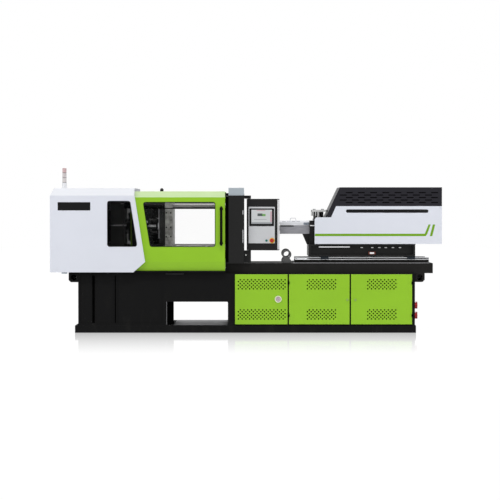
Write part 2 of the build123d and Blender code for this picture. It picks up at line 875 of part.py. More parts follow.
# The hood's end strip stops inside the shoes of the gates
hood_end_half_width = guard_face_y - guard_tube - hood_end_gap

# Hood over the clamp: bevelled on three sides, open below and towards the gates
with BuildPart() as clamp_hood:
    hood_length = cover_head_x - clamp_end_x
    with BuildSketch(Plane.XY.offset(cover_shoulder_z)):
        with Locations((clamp_end_x + hood_length / 2, 0)):
            Rectangle(hood_length, 2 * cover_half_width)
    with BuildSketch(Plane.XY.offset(cover_top_z)):
        with Locations((clamp_end_x + (hood_length + cover_bevel) / 2, 0)):
            Rectangle(hood_length - cover_bevel, 2 * (cover_half_width - cover_bevel))
    loft()
    offset(
        amount=-sheet,
        openings=[clamp_hood.faces().sort_by(Axis.Z)[0], clamp_hood.faces().sort_by(Axis.X)[-1]],
    )
    # End strip between the gates' tops
    block(
        cover_head_x - sheet, cover_head_x, -hood_end_half_width, hood_end_half_width,
        guard_rail_top_z + hood_end_gap, cover_top_z - sheet / 2,
    )

# Signal beacon on the hood
with BuildPart() as signal_beacon:
    stem_radius, stem_top = beacon_stem
    with BuildSketch(facing(beacon_y)):
        points = [
            (beacon_x, cover_top_z), (beacon_x + beacon_foot[0], cover_top_z),
            (beacon_x + beacon_foot[0], cover_top_z + beacon_foot[1]),
            (beacon_x + stem_radius, cover_top_z + beacon_foot[1] + 4),
            (beacon_x + stem_radius, cover_top_z + stem_top),
        ]
        for tier in range(3):
            bottom = cover_top_z + stem_top + 4 + tier * (beacon_tier_height + 3 * beacon_joint)
            points += [
                (beacon_x + beacon_tier_radius - beacon_joint, bottom),
                (beacon_x + beacon_tier_radius, bottom + beacon_joint),
                (beacon_x + beacon_tier_radius, bottom + beacon_tier_height),
                (beacon_x + beacon_tier_radius - beacon_joint, bottom + beacon_tier_height + beacon_joint),
            ]
        cap_radius, cap_edge, cap_top = beacon_cap
        points += [(beacon_x + cap_radius, cover_top_z + cap_edge), (beacon_x, cover_top_z + cap_top)]
        outline(*points)
    revolve(axis=Axis((beacon_x, beacon_y, 0), (0, 0, 1)))

# Guard frame: posts on the deck and a rail along each side that the gates hang on
post_x = gate_left_x - 400
with BuildPart() as guard_frame:
    for side in (-1, 1):
        y0, y1 = sorted((side * guard_face_y, side * (guard_face_y - guard_tube)))
        block(clamp_end_x + cover_fold, column_right_x, y0, y1, column_top_z, guard_rail_top_z)
        for x in (clamp_end_x + cover_fold, post_x):
            block(x, x + guard_tube, y0, y1, deck_top_z, column_top_z)
    for x in (clamp_end_x + cover_fold, post_x):
        block(x, x + guard_tube, -guard_face_y, guard_face_y, column_top_z, guard_rail_top_z)


def window_outline(y, low_x, high_x, top_z, lap):
    """Outline of a gate's window at this Y, widened by a lap."""
    slope = (low_x - high_x) / (top_z - gate_window_bottom_z)
    low, high = gate_window_bottom_z - lap, top_z + lap
    with BuildSketch(facing(y)) as opening:
        outline(
            (low_x + slope * lap - lap, low), (gate_window_right_x + lap, low),
            (gate_window_right_x + lap, high), (high_x - slope * lap - lap, high),
        )
        fillet(opening.vertices(), window_round)
    return opening.sketch


def front_window(y, lap):
    """The front gate's window follows the cover's slanted edge."""
    return window_outline(y, gate_window_low_x, gate_window_high_x, gate_window_top_z, lap)


def rear_window(y, lap):
    """The rear gate's window is square and shows only the mould space."""
    return window_outline(y, rear_window_left_x, rear_window_left_x, rear_window_top_z, lap)


def gate_shell(window):
    """Folded sheet with a bevelled top, hung from the guard rail on two shoes."""
    with BuildPart() as gate:
        with BuildSketch(across(gate_left_x)):
            outline(
                (gate_hem - gate_face_y, gate_bottom_z), (-gate_face_y, gate_fold_z),
                (-gate_face_y, gate_shoulder_z), (gate_depth - gate_face_y, gate_top_z),
                (gate_depth - gate_face_y, gate_bottom_z),
            )
        extrude(amount=gate_right_x - gate_left_x)
        offset(amount=-sheet, openings=gate.faces().sort_by(Axis.Y)[-1])
        extrude(window, amount=-sheet, mode=Mode.SUBTRACT)
        for x in (gate_left_x + shoe_inset, gate_right_x - shoe_inset):
            block(
                x - shoe_length / 2, x + shoe_length / 2,
                gate_depth - gate_face_y - sheet, -(guard_face_y - guard_tube + 2),
                guard_rail_top_z + slide_gap, gate_top_z - 10,
            )
    return gate.part


# Gates with their windows and handles
with BuildPart() as front_gate:
    add(gate_shell(front_window(-gate_face_y, 0)))
with BuildPart() as front_gate_window:
    extrude(front_window(sheet - gate_face_y, window_lap), amount=-window_pane)
with BuildPart() as front_gate_handle:
    bar_y = -gate_face_y - handle_standoff
    with BuildSketch(Plane.XY.offset(handle_bottom_z)):
        with Locations((handle_x, bar_y)):
            Circle(handle_radius)
    extrude(amount=handle_top_z - handle_bottom_z)
    for z in (handle_bottom_z + 40, handle_top_z - 40):
        with BuildSketch(facing(-gate_face_y)):
            with Locations((handle_x, z)):
                Circle(handle_radius)
        extrude(amount=handle_standoff)
        with BuildSketch(facing(-gate_face_y)):
            with Locations((handle_x, z)):
                Circle(2 * handle_radius)
        extrude(amount=6)
with BuildPart() as rear_gate:
    mirror(gate_shell(rear_window(-gate_face_y, 0)), about=Plane.XZ)
    mirror(front_gate_handle.part, about=Plane.XZ)
with BuildPart() as rear_gate_window:
    with BuildPart(mode=Mode.PRIVATE) as rear_pane:
        extrude(rear_window(sheet - gate_face_y, window_lap), amount=-window_pane)
    mirror(rear_pane.part, about=Plane.XZ)

# Column covers beside the fixed platen, with the terminal box on the front one
with BuildPart() as column_covers:
    block(
        column_left_x, column_right_x, -column_face_y, -platen_half, bed_top_z, column_top_z,
    )
    offset(amount=-sheet, openings=column_covers.faces().sort_by(Axis.Y)[-1])
    # Channel that the gate's edge closes against
    block(
        gate_right_x + closing_gap, column_left_x + sheet, closing_inset - column_face_y,
        closing_inset + closing_depth - column_face_y, bed_top_z, column_top_z - closing_drop,
    )
    mirror(about=Plane.XZ)
with BuildPart() as terminal_box:
    block(
        column_left_x, column_right_x, -column_face_y + 10, -guard_face_y - 2,
        column_top_z, terminal_box_top_z,
    )
    block(
        column_left_x, column_right_x, -guard_face_y - 2, terminal_box_depth - column_face_y,
        guard_rail_top_z, terminal_box_top_z,
    )
    fillet(terminal_box.edges().filter_by(Axis.X).group_by(Axis.Z)[-1], 8)

# Control panel: everything on it is placed on the turned plane of its pivot
panel_plane = Plane(
    origin=(panel_pivot_x, panel_pivot_y, panel_bottom_z),
    x_dir=(cos(radians(-panel_turn)), sin(radians(-panel_turn)), 0),
    z_dir=(0, 0, 1),
)
panel_face = Plane(
    origin=panel_plane.from_local_coords((-panel_pivot_inset, -panel_front, 0)),
    x_dir=panel_plane.x_dir,
    z_dir=-panel_plane.y_dir,
)


def panel_button(across_face, up, radius, gap=0.0):
    """Round button outline at a place on the panel's face."""
    with Locations((across_face, up)):
        Circle(radius + gap)


button_depth = 20.0
with BuildPart() as hmi_housing:
    with BuildSketch(panel_plane):
        with Locations((panel_width / 2 - panel_pivot_inset, (panel_back - panel_front) / 2)):
            RectangleRounded(panel_width, panel_front + panel_back, 12)
    extrude(amount=panel_height)
    for z, length in ((0, panel_pin_length), (panel_height, -panel_pin_length)):
        with BuildSketch(panel_plane.offset(z)):
            Circle(panel_pin_radius + pin_gap)
        extrude(amount=length + (1 if length > 0 else -1), mode=Mode.SUBTRACT)
    with BuildSketch(panel_face):
        with Locations((face_left + face_width / 2, face_bottom + face_height / 2)):
            RectangleRounded(face_width, face_height, 10)
    extrude(amount=face_proud)
    with BuildSketch(panel_face.offset(face_proud)):
        panel_button(stop_across, stop_up, stop_radius - 10, pin_gap)
        panel_button(start_across, stop_up, start_radius, pin_gap)
    extrude(amount=-button_depth - 2 * button_travel, mode=Mode.SUBTRACT)
with BuildPart() as hmi_screen:
    with BuildSketch(panel_face.offset(face_proud)):
        with Locations((face_left + face_width / 2, screen_bottom + screen_height / 2)):
            RectangleRounded(screen_width, screen_height, 8)
    extrude(amount=6)
with BuildPart() as emergency_stop:
    with BuildSketch(panel_face.offset(face_proud)):
        panel_button(stop_across, stop_up, stop_radius - 10)
    extrude(amount=-button_depth)
    with BuildSketch(panel_face.offset(face_proud)):
        panel_button(stop_across, stop_up, stop_radius - 10)
    extrude(amount=button_travel + 4)
    with BuildSketch(panel_face.offset(face_proud + button_travel + 4)):
        panel_button(stop_across, stop_up, stop_radius)
    extrude(amount=18, taper=8)
with BuildPart() as start_button:
    with BuildSketch(panel_face.offset(face_proud + button_travel + 3)):
        panel_button(start_across, stop_up, start_radius)
    extrude(amount=-button_depth - button_travel)

# Brackets that carry the panel on the column, with the pins it turns on
panel_top_z = panel_bottom_z + panel_height
with BuildPart() as hmi_brackets:
    bracket_y = panel_pivot_y - bracket_arm / 2
    for z0, z1 in ((panel_top_z + 2, column_top_z), (bed_top_z + 10, panel_bottom_z - 2)):
        with BuildSketch(Plane.XY.offset(z0)):
            with Locations((panel_pivot_x, panel_pivot_y)):
                Circle(bracket_arm / 2)
            outline(
                (column_right_x, bracket_y), (panel_pivot_x, bracket_y),
                (panel_pivot_x, bracket_y + bracket_arm), (column_right_x, bracket_y + bracket_arm),
            )
        extrude(amount=z1 - z0)
    for z, length in ((panel_bottom_z - 2, 2 + panel_pin_length), (panel_top_z + 2, -2 - panel_pin_length)):
        with BuildSketch(Plane.XY.offset(z)):
            with Locations((panel_pivot_x, panel_pivot_y)):
                Circle(panel_pin_radius)
        extrude(amount=length)

# Carriage: channel-sided casting on four rail blocks
with BuildPart() as carriage_base:
    block(
        carriage_left_x, carriage_right_x, -carriage_half_width, carriage_half_width,
        carriage_bottom_z, carriage_top_z,
    )
    for side in (-1, 1):
        with BuildSketch(facing(side * carriage_half_width)):
            with Locations(
                ((carriage_left_x + carriage_right_x) / 2, (carriage_bottom_z + carriage_top_z) / 2)
            ):
                RectangleRounded(
                    carriage_right_x - carriage_left_x - 70,
                    carriage_top_z - carriage_bottom_z - 2 * carriage_flange, 10,
                )
        extrude(amount=side * carriage_recess, mode=Mode.SUBTRACT)
        y = side * rail_offset
        for x in (carriage_left_x + 187, carriage_right_x - block_length):
            block(
                x, x + block_length, y - 45, y + 45, rail_pad_top_z + 8, carriage_bottom_z,
            )
            block(
                x, x + block_length, y - rail_width / 2 - slide_gap, y + rail_width / 2 + slide_gap,
                rail_pad_top_z + 8, rail_top_z + slide_gap, mode=Mode.SUBTRACT,
            )
    block(
        casing_left_x + 16, carriage_right_x, casing_fold - casing_half_width,
        casing_half_width - casing_fold, carriage_top_z, casing_bottom_z,
    )

# Feed housing: front plate, throat block, front bracket, two guide bars and the rear plate
with BuildPart() as feed_housing:
    block(
        feed_left_x, feed_left_x + feed_plate, -feed_half_width, feed_half_width,
        carriage_top_z, feed_plate_top_z,
    )
    block(
        casing_left_x, feed_right_x, -0.8 * feed_half_width, 0.8 * feed_half_width,
        casing_bottom_z, feed_top_z,
    )
    with BuildSketch(Plane.XZ):
        outline(
            (feed_left_x, guard_bottom_z), (guard_left_x + 345, guard_bottom_z),
            (carriage_left_x - 15, carriage_top_z), (feed_left_x, carriage_top_z),
        )
    extrude(amount=guard_half_width, both=True)
    for side in (-1, 1):
        rod(feed_right_x, rear_plate_x, side * guide_bar_offset, axis_z, guide_bar_radius)
    block(
        rear_plate_x, rear_plate_x + rear_plate_thickness, -feed_half_width, feed_half_width,
        casing_bottom_z, axis_z + injection_plate_height,
    )
    rod(feed_left_x, feed_right_x, 0, axis_z, barrel_radius, mode=Mode.SUBTRACT)
    with BuildSketch(Plane.XY.offset(axis_z)):
        with Locations((throat_x, 0)):
            Circle(feed_radius)
    extrude(amount=feed_top_z - axis_z, mode=Mode.SUBTRACT)

# Barrel with nozzle and heater bands, bored for the screw
axis_line = Axis((0, 0, axis_z), (1, 0, 0))
bore_radius = plasticizing_radius + pin_gap
band_starts = [barrel_head_x + 95 + 165 * i for i in range(4)]
with BuildPart() as barrel:
    with BuildSketch(Plane.XZ):
        outline(
            (nozzle_tip_x, axis_z), (nozzle_tip_x, axis_z + 10), (nozzle_tip_x + 22, axis_z + nozzle_radius),
            (barrel_head_x - 55, axis_z + nozzle_radius), (barrel_head_x - 55, axis_z + nozzle_radius + 14),
            (barrel_head_x, axis_z + nozzle_radius + 14), (barrel_head_x, axis_z + barrel_head_radius),
            (barrel_head_x + 75, axis_z + barrel_head_radius), (barrel_head_x + 75, axis_z + barrel_radius),
            (feed_right_x, axis_z + barrel_radius), (feed_right_x, axis_z + bore_radius),
            (barrel_head_x, axis_z + bore_radius), (barrel_head_x, axis_z),
        )
        for x in band_starts:
            outline(
                (x, axis_z + barrel_radius - 1), (x + heater_length, axis_z + barrel_radius - 1),
                (x + heater_length, axis_z + heater_radius), (x, axis_z + heater_radius),
            )
    revolve(axis=axis_line)
    with BuildSketch(Plane.XY.offset(axis_z)):
        with Locations((throat_x, 0)):
            Circle(feed_radius)
    extrude(amount=barrel_radius + 1, mode=Mode.SUBTRACT)

# Plasticizing screw: a shaft with a conical tip, its rear end in the injection plate
with BuildPart() as plasticizing_screw:
    with BuildSketch(Plane.XZ):
        outline(
            (barrel_head_x + 6, axis_z), (barrel_head_x + 46, axis_z + plasticizing_radius - 5),
            (barrel_head_x + 60, axis_z + plasticizing_radius - 5),
            (barrel_head_x + 60, axis_z + plasticizing_radius),
            (injection_plate_x + injection_plate_thickness, axis_z + plasticizing_radius),
            (injection_plate_x + injection_plate_thickness, axis_z),
        )
    revolve(axis=axis_line)

# Injection plate on the guide bars, with the screw motor behind it
with BuildPart() as injection_plate:
    with BuildSketch(across(injection_plate_x)):
        with Locations((0, axis_z)):
            RectangleRounded(2 * injection_plate_half, 2 * injection_plate_height, 30)
            with GridLocations(2 * guide_bar_offset, 0, 2, 1):
                Circle(guide_bar_radius + slide_gap, mode=Mode.SUBTRACT)
    extrude(amount=injection_plate_thickness)
    with BuildSketch(across(injection_plate_x)):
        with Locations((0, axis_z)):
            Circle(plasticizing_radius + pin_gap)
    extrude(amount=injection_plate_thickness, mode=Mode.SUBTRACT)
    motor_x = injection_plate_x + injection_plate_thickness
    rod(motor_x, motor_x + screw_motor_length, 0, axis_z, screw_motor_radius)

# Lower heater guard: a trough with end plates, standing on the feed housing's bracket
guard_right_x = feed_left_x
guard_hinge_y = guard_half_width + guard_hinge_radius
guard_hinge_z = guard_upper_bottom_z
guard_hinge_starts = (guard_left_x + 80, guard_right_x - 80 - 3 * guard_barrel)
with BuildPart() as lower_guard:
    block(
        guard_left_x, guard_right_x, -guard_half_width, guard_half_width,
        guard_bottom_z, guard_lower_top_z,
    )
    offset(amount=-sheet, openings=lower_guard.faces().sort_by(Axis.Z)[-1])
    # Hinge leaves with a fixed pin between them, up the far wall
    for start in guard_hinge_starts:
        for x in (start, start + 2 * guard_barrel + 2 * slide_gap):
            block(
                x, x + guard_barrel, guard_half_width - sheet, guard_half_width,
                guard_lower_top_z - sheet, guard_hinge_z - slide_gap,
            )
            block(
                x, x + guard_barrel, guard_half_width, guard_hinge_y,
                guard_lower_top_z - sheet, guard_hinge_z,
            )
            rod(x, x + guard_barrel, guard_hinge_y, guard_hinge_z, guard_hinge_radius - 1)
        rod(
            start, start + 3 * guard_barrel + 2 * slide_gap, guard_hinge_y, guard_hinge_z,
            guard_pin_radius,
        )
    for x in (guard_left_x, guard_right_x - sheet):
        block(
            x, x + sheet, -guard_half_width, guard_half_width,
            guard_lower_top_z - sheet, guard_upper_bottom_z - slide_gap,
        )
    rod(
        guard_left_x, guard_right_x, 0, axis_z, heater_radius + 2, mode=Mode.SUBTRACT,
    )

# Upper heater guard: a lid with vent slots and an arched handle, hinged along its far edge
with BuildPart() as heater_guard:
    with BuildSketch(across(guard_left_x)):
        outline(
            (-guard_half_width, guard_upper_bottom_z), (-guard_half_width, guard_upper_top_z - 25),
            (-guard_half_width + 25, guard_upper_top_z), (guard_half_width - 25, guard_upper_top_z),
            (guard_half_width, guard_upper_top_z - 25), (guard_half_width, guard_upper_bottom_z),
        )
    extrude(amount=guard_right_x - guard_left_x - 2)
    offset(amount=-sheet, openings=heater_guard.faces().sort_by(Axis.Z)[0])
    with BuildSketch(Plane.XY.offset(guard_upper_top_z)):
        with Locations(((guard_left_x + guard_right_x) / 2, 0)):
            with GridLocations(75, 60, 5, 2):
                Rectangle(50, 14)
    extrude(amount=-sheet, mode=Mode.SUBTRACT)
    rod(guard_left_x, guard_right_x, 0, axis_z, heater_radius + 2, mode=Mode.SUBTRACT)
    for start in guard_hinge_starts:
        x = start + guard_barrel + slide_gap
        block(
            x, x + guard_barrel, guard_half_width - 1, guard_hinge_y,
            guard_hinge_z, guard_hinge_z + guard_hinge_radius,
        )
        rod(x, x + guard_barrel, guard_hinge_y, guard_hinge_z, guard_hinge_radius - 1)
        rod(
            x, x + guard_barrel, guard_hinge_y, guard_hinge_z, guard_pin_radius + pin_gap,
            mode=Mode.SUBTRACT,
        )
    handle_middle_x = (guard_handle_left_x + guard_handle_right_x) / 2
    with BuildSketch(Plane.XZ):
        with BuildLine():
            Polyline(
                (guard_handle_left_x, guard_upper_top_z),
                (guard_handle_left_x + 14, guard_upper_top_z + guard_handle_rise),
                (guard_handle_right_x - 14, guard_upper_top_z + guard_handle_rise),
                (guard_handle_right_x, guard_upper_top_z),
                (guard_handle_right_x - 11, guard_upper_top_z),
                (guard_handle_right_x - 23, guard_upper_top_z + guard_handle_rise - 10),
                (guard_handle_left_x + 23, guard_upper_top_z + guard_handle_rise - 10),
                (guard_handle_left_x + 11, guard_upper_top_z),
                close=True,
            )
        make_face()
    extrude(amount=8, both=True)

# Hopper plate: flange for the hopper with its bolt holes, on the neck of the feed throat
with BuildPart() as hopper_plate:
    hopper_middle_x = (hopper_plate_left_x + hopper_plate_right_x) / 2
    with BuildSketch(Plane.XY.offset(hopper_plate_bottom_z)):
        with Locations((hopper_middle_x, 0)):
            RectangleRounded(hopper_plate_right_x - hopper_plate_left_x, 260, 12)
    extrude(amount=hopper_plate_thickness)
    block(
        hopper_plate_left_x, hopper_plate_left_x + 74, -90, 90, hopper_plate_bottom_z - 62,
        hopper_plate_bottom_z,
    )
    with BuildSketch(Plane.XY.offset(feed_top_z)):
        with Locations((throat_x, 0)):
            Circle(hopper_neck_radius - 12)
    extrude(amount=hopper_plate_bottom_z - feed_top_z)
    with BuildSketch(Plane.XY.offset(feed_top_z)):
        with Locations((throat_x, 0)):
            Circle(throat_radius)
            with GridLocations(hopper_bolt_spacing, hopper_bolt_spacing, 2, 2):
                Circle(hopper_bolt_radius)
    extrude(
        amount=hopper_plate_bottom_z + hopper_plate_thickness - feed_top_z, mode=Mode.SUBTRACT,
    )

# Injection covers: a stepped side cover each side and the end cover between them
casing_points = (
    (casing_left_x, casing_bottom_z), (tail_end_x, casing_bottom_z), (tail_end_x, casing_top_z),
    (oblique_high_x, casing_top_z), (oblique_low_x, casing_step_z), (casing_left_x, casing_step_z),
)
with BuildPart() as injection_covers:
    with BuildSketch(facing(-casing_half_width)) as casing_outline:
        outline(*casing_points)
        left_corners = casing_outline.vertices().group_by(Axis.X)[0]
        fillet(left_corners.sort_by(Axis.Y)[-1], casing_round)
    extrude(amount=-casing_fold)
    offset(amount=-sheet, openings=injection_covers.faces().sort_by(Axis.Y)[-1])
    with BuildSketch(facing(-casing_half_width)):
        with Locations(((stripe_left_x + stripe_right_x) / 2, stripe_bottom_z + stripe_height / 2)):
            SlotOverall(stripe_right_x - stripe_left_x, stripe_height)
    extrude(amount=-sheet / 2, mode=Mode.SUBTRACT)
    mirror(about=Plane.XZ)
    block(
        tail_end_x - sheet, tail_end_x, casing_fold - casing_half_width,
        casing_half_width - casing_fold, casing_bottom_z, casing_top_z,
    )

# Roof of the injection unit: slanted front, open below, staggered slots in both sides
with BuildPart() as injection_roof:
    with BuildSketch(Plane.XZ):
        outline(
            (tail_end_x, casing_top_z), (oblique_high_x, casing_top_z), (oblique_low_x, casing_step_z),
            (roof_foot_x, casing_step_z), (roof_head_x, roof_top_z), (tail_end_x, roof_top_z),
        )
    extrude(amount=casing_half_width, both=True)
    offset(
        amount=-sheet,
        openings=injection_roof.faces().filter_by(lambda face: face.normal_at().Z < -0.05),
    )
    with BuildSketch(Plane.XZ):
        for row in range(roof_slot_rows):
            row_x = roof_slot_first_x + ((roof_slots - 1) / 2 - row % 2 / 2) * roof_slot_pitch
            with Locations((row_x, roof_slot_top_z - row * roof_slot_row)):
                with GridLocations(roof_slot_pitch, 0, roof_slots, 1):
                    Rectangle(roof_slot_length, roof_slot_height)
    extrude(amount=casing_half_width, both=True, mode=Mode.SUBTRACT)


def perforate(left, columns, face_y):
    """Two bands of staggered square holes, standing on their corners, through a front panel."""
    with BuildSketch(facing(-face_y)) as holes:
        for z in (upper_holes_z, lower_holes_z):
            for shift in (0, 1):
                x = left + (columns - 1) / 2 * hole_pitch + shift * hole_pitch / 2
                row_z = z + (2 * shift - 1) * hole_row / 2
                with Locations((x, row_z)):
                    with GridLocations(hole_pitch, 2 * hole_row, columns, hole_rows // 2):
                        Rectangle(hole_size, hole_size, rotation=45)
    extrude(holes.sketch, amount=-sheet, mode=Mode.SUBTRACT)


def panel_corners(left, right):
    """Corners of a cabinet panel between two edges."""
    return (left, door_bottom_z), (right, door_bottom_z), (right, door_top_z), (left, door_top_z)


door_fold = door_face_y - base_half_width

# Fixed panel with its round gauge
with BuildPart() as cabinet_panel:
    add(folded_panel(panel_corners(base_right_x, first_panel_right_x), door_face_y, door_fold))
    perforate(base_right_x + panel_holes_inset, panel_hole_columns, door_face_y)
    with BuildSketch(facing(-door_face_y)):
        with Locations((gauge_x, gauge_z)):
            Circle(gauge_radius)
    extrude(amount=10)
    with BuildSketch(facing(-door_face_y - 10)):
        with Locations((gauge_x, gauge_z)):
            Circle(gauge_radius - 12)
    extrude(amount=-4, mode=Mode.SUBTRACT)


def cabinet_door(left, right, holes_left, hinge_x, side):
    """Perforated door with the barrels of its hinges; side is 1 when it is hinged at its left edge."""
    lock_x = right - lock_inset if side > 0 else left + 2 * lock_inset
    with BuildPart() as door:
        add(folded_panel(panel_corners(left, right), door_face_y, door_fold - slide_gap))
        perforate(holes_left, door_hole_columns, door_face_y)
        with BuildSketch(facing(-door_face_y)):
            with Locations((lock_x, lock_z)):
                Circle(lock_radius + pin_gap)
        extrude(amount=-sheet, mode=Mode.SUBTRACT)
        for z in hinge_heights:
            with BuildSketch(Plane.XY.offset(z - hinge_barrel / 2)):
                with Locations((hinge_x, hinge_y)):
                    Circle(hinge_radius)
                with Locations((hinge_x + side * hinge_radius, -door_face_y - hinge_offset / 2 + 1)):
                    Rectangle(2 * hinge_radius, hinge_offset + 2)
                with Locations((hinge_x, hinge_y)):
                    Circle(hinge_pin_radius + pin_gap, mode=Mode.SUBTRACT)
            extrude(amount=hinge_barrel)
    with BuildPart() as lock:
        with BuildSketch(facing(-door_face_y - 6)):
            with Locations((lock_x, lock_z)):
                Circle(lock_radius)
        extrude(amount=-6 - sheet)
        with BuildSketch(facing(-door_face_y - 6)):
            with Locations((lock_x, lock_z)):
                Circle(lock_radius + 4)
                Rectangle(6, 1.4 * lock_radius, mode=Mode.SUBTRACT)
        extrude(amount=-6 + slide_gap)
    return door.part, lock.part


left_hinge_x = hinge_spots[0][0]
right_hinge_x = hinge_spots[1][0]
left_door, left_door_lock = cabinet_door(
    left_door_x, left_door_right_x, left_door_x + left_holes_inset, left_hinge_x, 1
)
right_door, right_door_lock = cabinet_door(
    right_door_x, right_door_right_x, right_door_x + right_holes_inset, right_hinge_x, -1
)

# Plain panels on the far side of the cabinet
with BuildPart() as rear_cabinet_panels:
    for left, right in bays:
        block(
            left, right, base_half_width, base_half_width + 12, door_bottom_z, door_top_z,
        )
    chamfer(rear_cabinet_panels.faces().sort_by(Axis.Y)[-3:].edges(), 3)

# Drive units on mounting plates, behind the two doors
with BuildPart() as drive_units:
    plate_y = bay_depth - base_half_width
    for left, right in bays[1:]:
        middle = (left + right) / 2
        block(middle - 380, middle + 380, plate_y - 12, plate_y, 200, 810)
        for i, width in enumerate((150, 150, 210)):
            x = middle - 250 + 220 * i
            block(x - width / 2, x + width / 2, plate_y - 200, plate_y - 12, 330, 700)

# Power sockets on the end of the cabinet, and their hinged lids
lid_x = cabinet_right_x + socket_reach + slide_gap
lid_hinge_x = lid_x + lid_thickness / 2
with BuildPart() as power_sockets:
    for z in socket_heights:
        with BuildSketch(across(cabinet_right_x)):
            with Locations((socket_y, z)):
                RectangleRounded(2 * socket_radius + 14, 2 * socket_radius + 14, 10)
        extrude(amount=8)
        rod(cabinet_right_x, cabinet_right_x + socket_reach, socket_y, z, socket_radius)
        rod(
            cabinet_right_x + 12, cabinet_right_x + socket_reach, socket_y, z, socket_radius - 8,
            mode=Mode.SUBTRACT,
        )
        # Ears and the pin of the lid's hinge
        hinge_z = z + socket_radius + lid_hinge_rise
        for side in (-1, 1):
            ends = (socket_y + side * (lid_tab + slide_gap), socket_y + side * (lid_tab + lid_ear))
            block(
                cabinet_right_x + 8, lid_hinge_x + lid_ear_half, min(ends), max(ends),
                hinge_z - lid_ear_half, hinge_z + lid_ear_half,
            )
        with BuildSketch(facing(socket_y + lid_tab + lid_ear)):
            with Locations((lid_hinge_x, hinge_z)):
                Circle(lid_pin_radius)
        extrude(amount=2 * (lid_tab + lid_ear))
lids = []
for z in socket_heights:
    hinge_z = z + socket_radius + lid_hinge_rise
    with BuildPart() as lid:
        rod(lid_x, lid_x + lid_thickness, socket_y, z, socket_radius + 3)
        block(
            lid_x, lid_x + lid_thickness, socket_y - lid_tab, socket_y + lid_tab, z, hinge_z + 5,
        )
        with BuildSketch(facing(socket_y)):
            with Locations((lid_hinge_x, hinge_z)):
                Circle(lid_pin_radius + pin_gap)
        extrude(amount=lid_tab, both=True, mode=Mode.SUBTRACT)
    lids.append(lid.part)

pieces = {
    "plinth": plinth.part,
    "clamp_base": clamp_base.part,
    "cabinet_frame": cabinet_frame.part,
    "bed_beam": bed_beam.part,
    "lifting_eyes": lifting_eyes.part,
    "carriage_rails": carriage_rails.part,
    "fixed_platen": fixed_platen.part,
    "tie_bars": tie_bars.part,
    "end_platen": end_platen.part,
    "end_platen_nuts": end_platen_nuts.part,
    "closing_motor": closing_motor.part,
    "closing_screw": closing_screw.part,
    "crosshead": crosshead.part,
    **links,
    "moving_platen": moving_platen.part,
    "ejector": ejector.part,
    "front_clamp_cover": front_clamp_cover.part,
    "rear_clamp_cover": rear_clamp_cover.part,
    "clamp_windows": clamp_windows.part,
    "clamp_end_cover": clamp_end_cover.part,
    "clamp_hood": clamp_hood.part,
    "signal_beacon": signal_beacon.part,
    "guard_frame": guard_frame.part,
    "front_gate": front_gate.part,
    "front_gate_window": front_gate_window.part,
    "front_gate_handle": front_gate_handle.part,
    "rear_gate": rear_gate.part,
    "rear_gate_window": rear_gate_window.part,
    "column_covers": column_covers.part,
    "terminal_box": terminal_box.part,
    "hmi_brackets": hmi_brackets.part,
    "hmi_housing": hmi_housing.part,
    "hmi_screen": hmi_screen.part,
    "emergency_stop": emergency_stop.part,
    "start_button": start_button.part,
    "carriage_base": carriage_base.part,
    "feed_housing": feed_housing.part,
    "barrel": barrel.part,
    "plasticizing_screw": plasticizing_screw.part,
    "injection_plate": injection_plate.part,
    "lower_guard": lower_guard.part,
    "heater_guard": heater_guard.part,
    "hopper_plate": hopper_plate.part,
    "injection_covers": injection_covers.part,
    "injection_roof": injection_roof.part,
    "cabinet_panel": cabinet_panel.part,
    "left_door": left_door,
    "left_door_lock": left_door_lock,
    "right_door": right_door,
    "right_door_lock": right_door_lock,
    "rear_cabinet_panels": rear_cabinet_panels.part,
    "drive_units": drive_units.part,
    "power_sockets": power_sockets.part,
    "upper_socket_lid": lids[1],
    "lower_socket_lid": lids[0],
}
for name, piece in pieces.items():
    piece.label = name
    export_step(piece, f"parts/{name}.step")
print(len(pieces), "pieces")
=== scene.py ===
"""Finishes and small pieces of an injection moulding machine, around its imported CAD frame.

All lengths are in metres. X runs from the clamp to the injection unit, and the front faces -Y.
"""

import json
import math

import bpy
import numpy as np
from bpy.props import FloatProperty, FloatVectorProperty, PointerProperty
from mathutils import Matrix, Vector


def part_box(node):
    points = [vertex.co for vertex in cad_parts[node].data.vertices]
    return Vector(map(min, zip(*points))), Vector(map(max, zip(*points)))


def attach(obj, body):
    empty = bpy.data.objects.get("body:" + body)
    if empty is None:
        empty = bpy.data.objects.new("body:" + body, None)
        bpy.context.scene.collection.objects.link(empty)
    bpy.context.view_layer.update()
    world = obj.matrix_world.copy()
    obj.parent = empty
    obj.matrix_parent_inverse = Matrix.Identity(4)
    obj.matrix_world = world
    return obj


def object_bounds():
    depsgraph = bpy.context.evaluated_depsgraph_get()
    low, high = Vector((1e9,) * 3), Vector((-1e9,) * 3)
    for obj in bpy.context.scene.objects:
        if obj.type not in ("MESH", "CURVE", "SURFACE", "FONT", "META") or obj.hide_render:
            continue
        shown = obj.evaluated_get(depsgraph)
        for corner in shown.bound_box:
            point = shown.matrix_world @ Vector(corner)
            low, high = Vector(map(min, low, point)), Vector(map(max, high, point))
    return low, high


bl_info = {
    "name": "Injection moulding machine",
    "version": (1, 0, 0),
    "blender": (4, 5, 0),
    "location": "View3D > Sidebar > Machine",
    "description": "Builds the finishes, small pieces and studio of an injection moulding machine",
    "category": "Object",
}

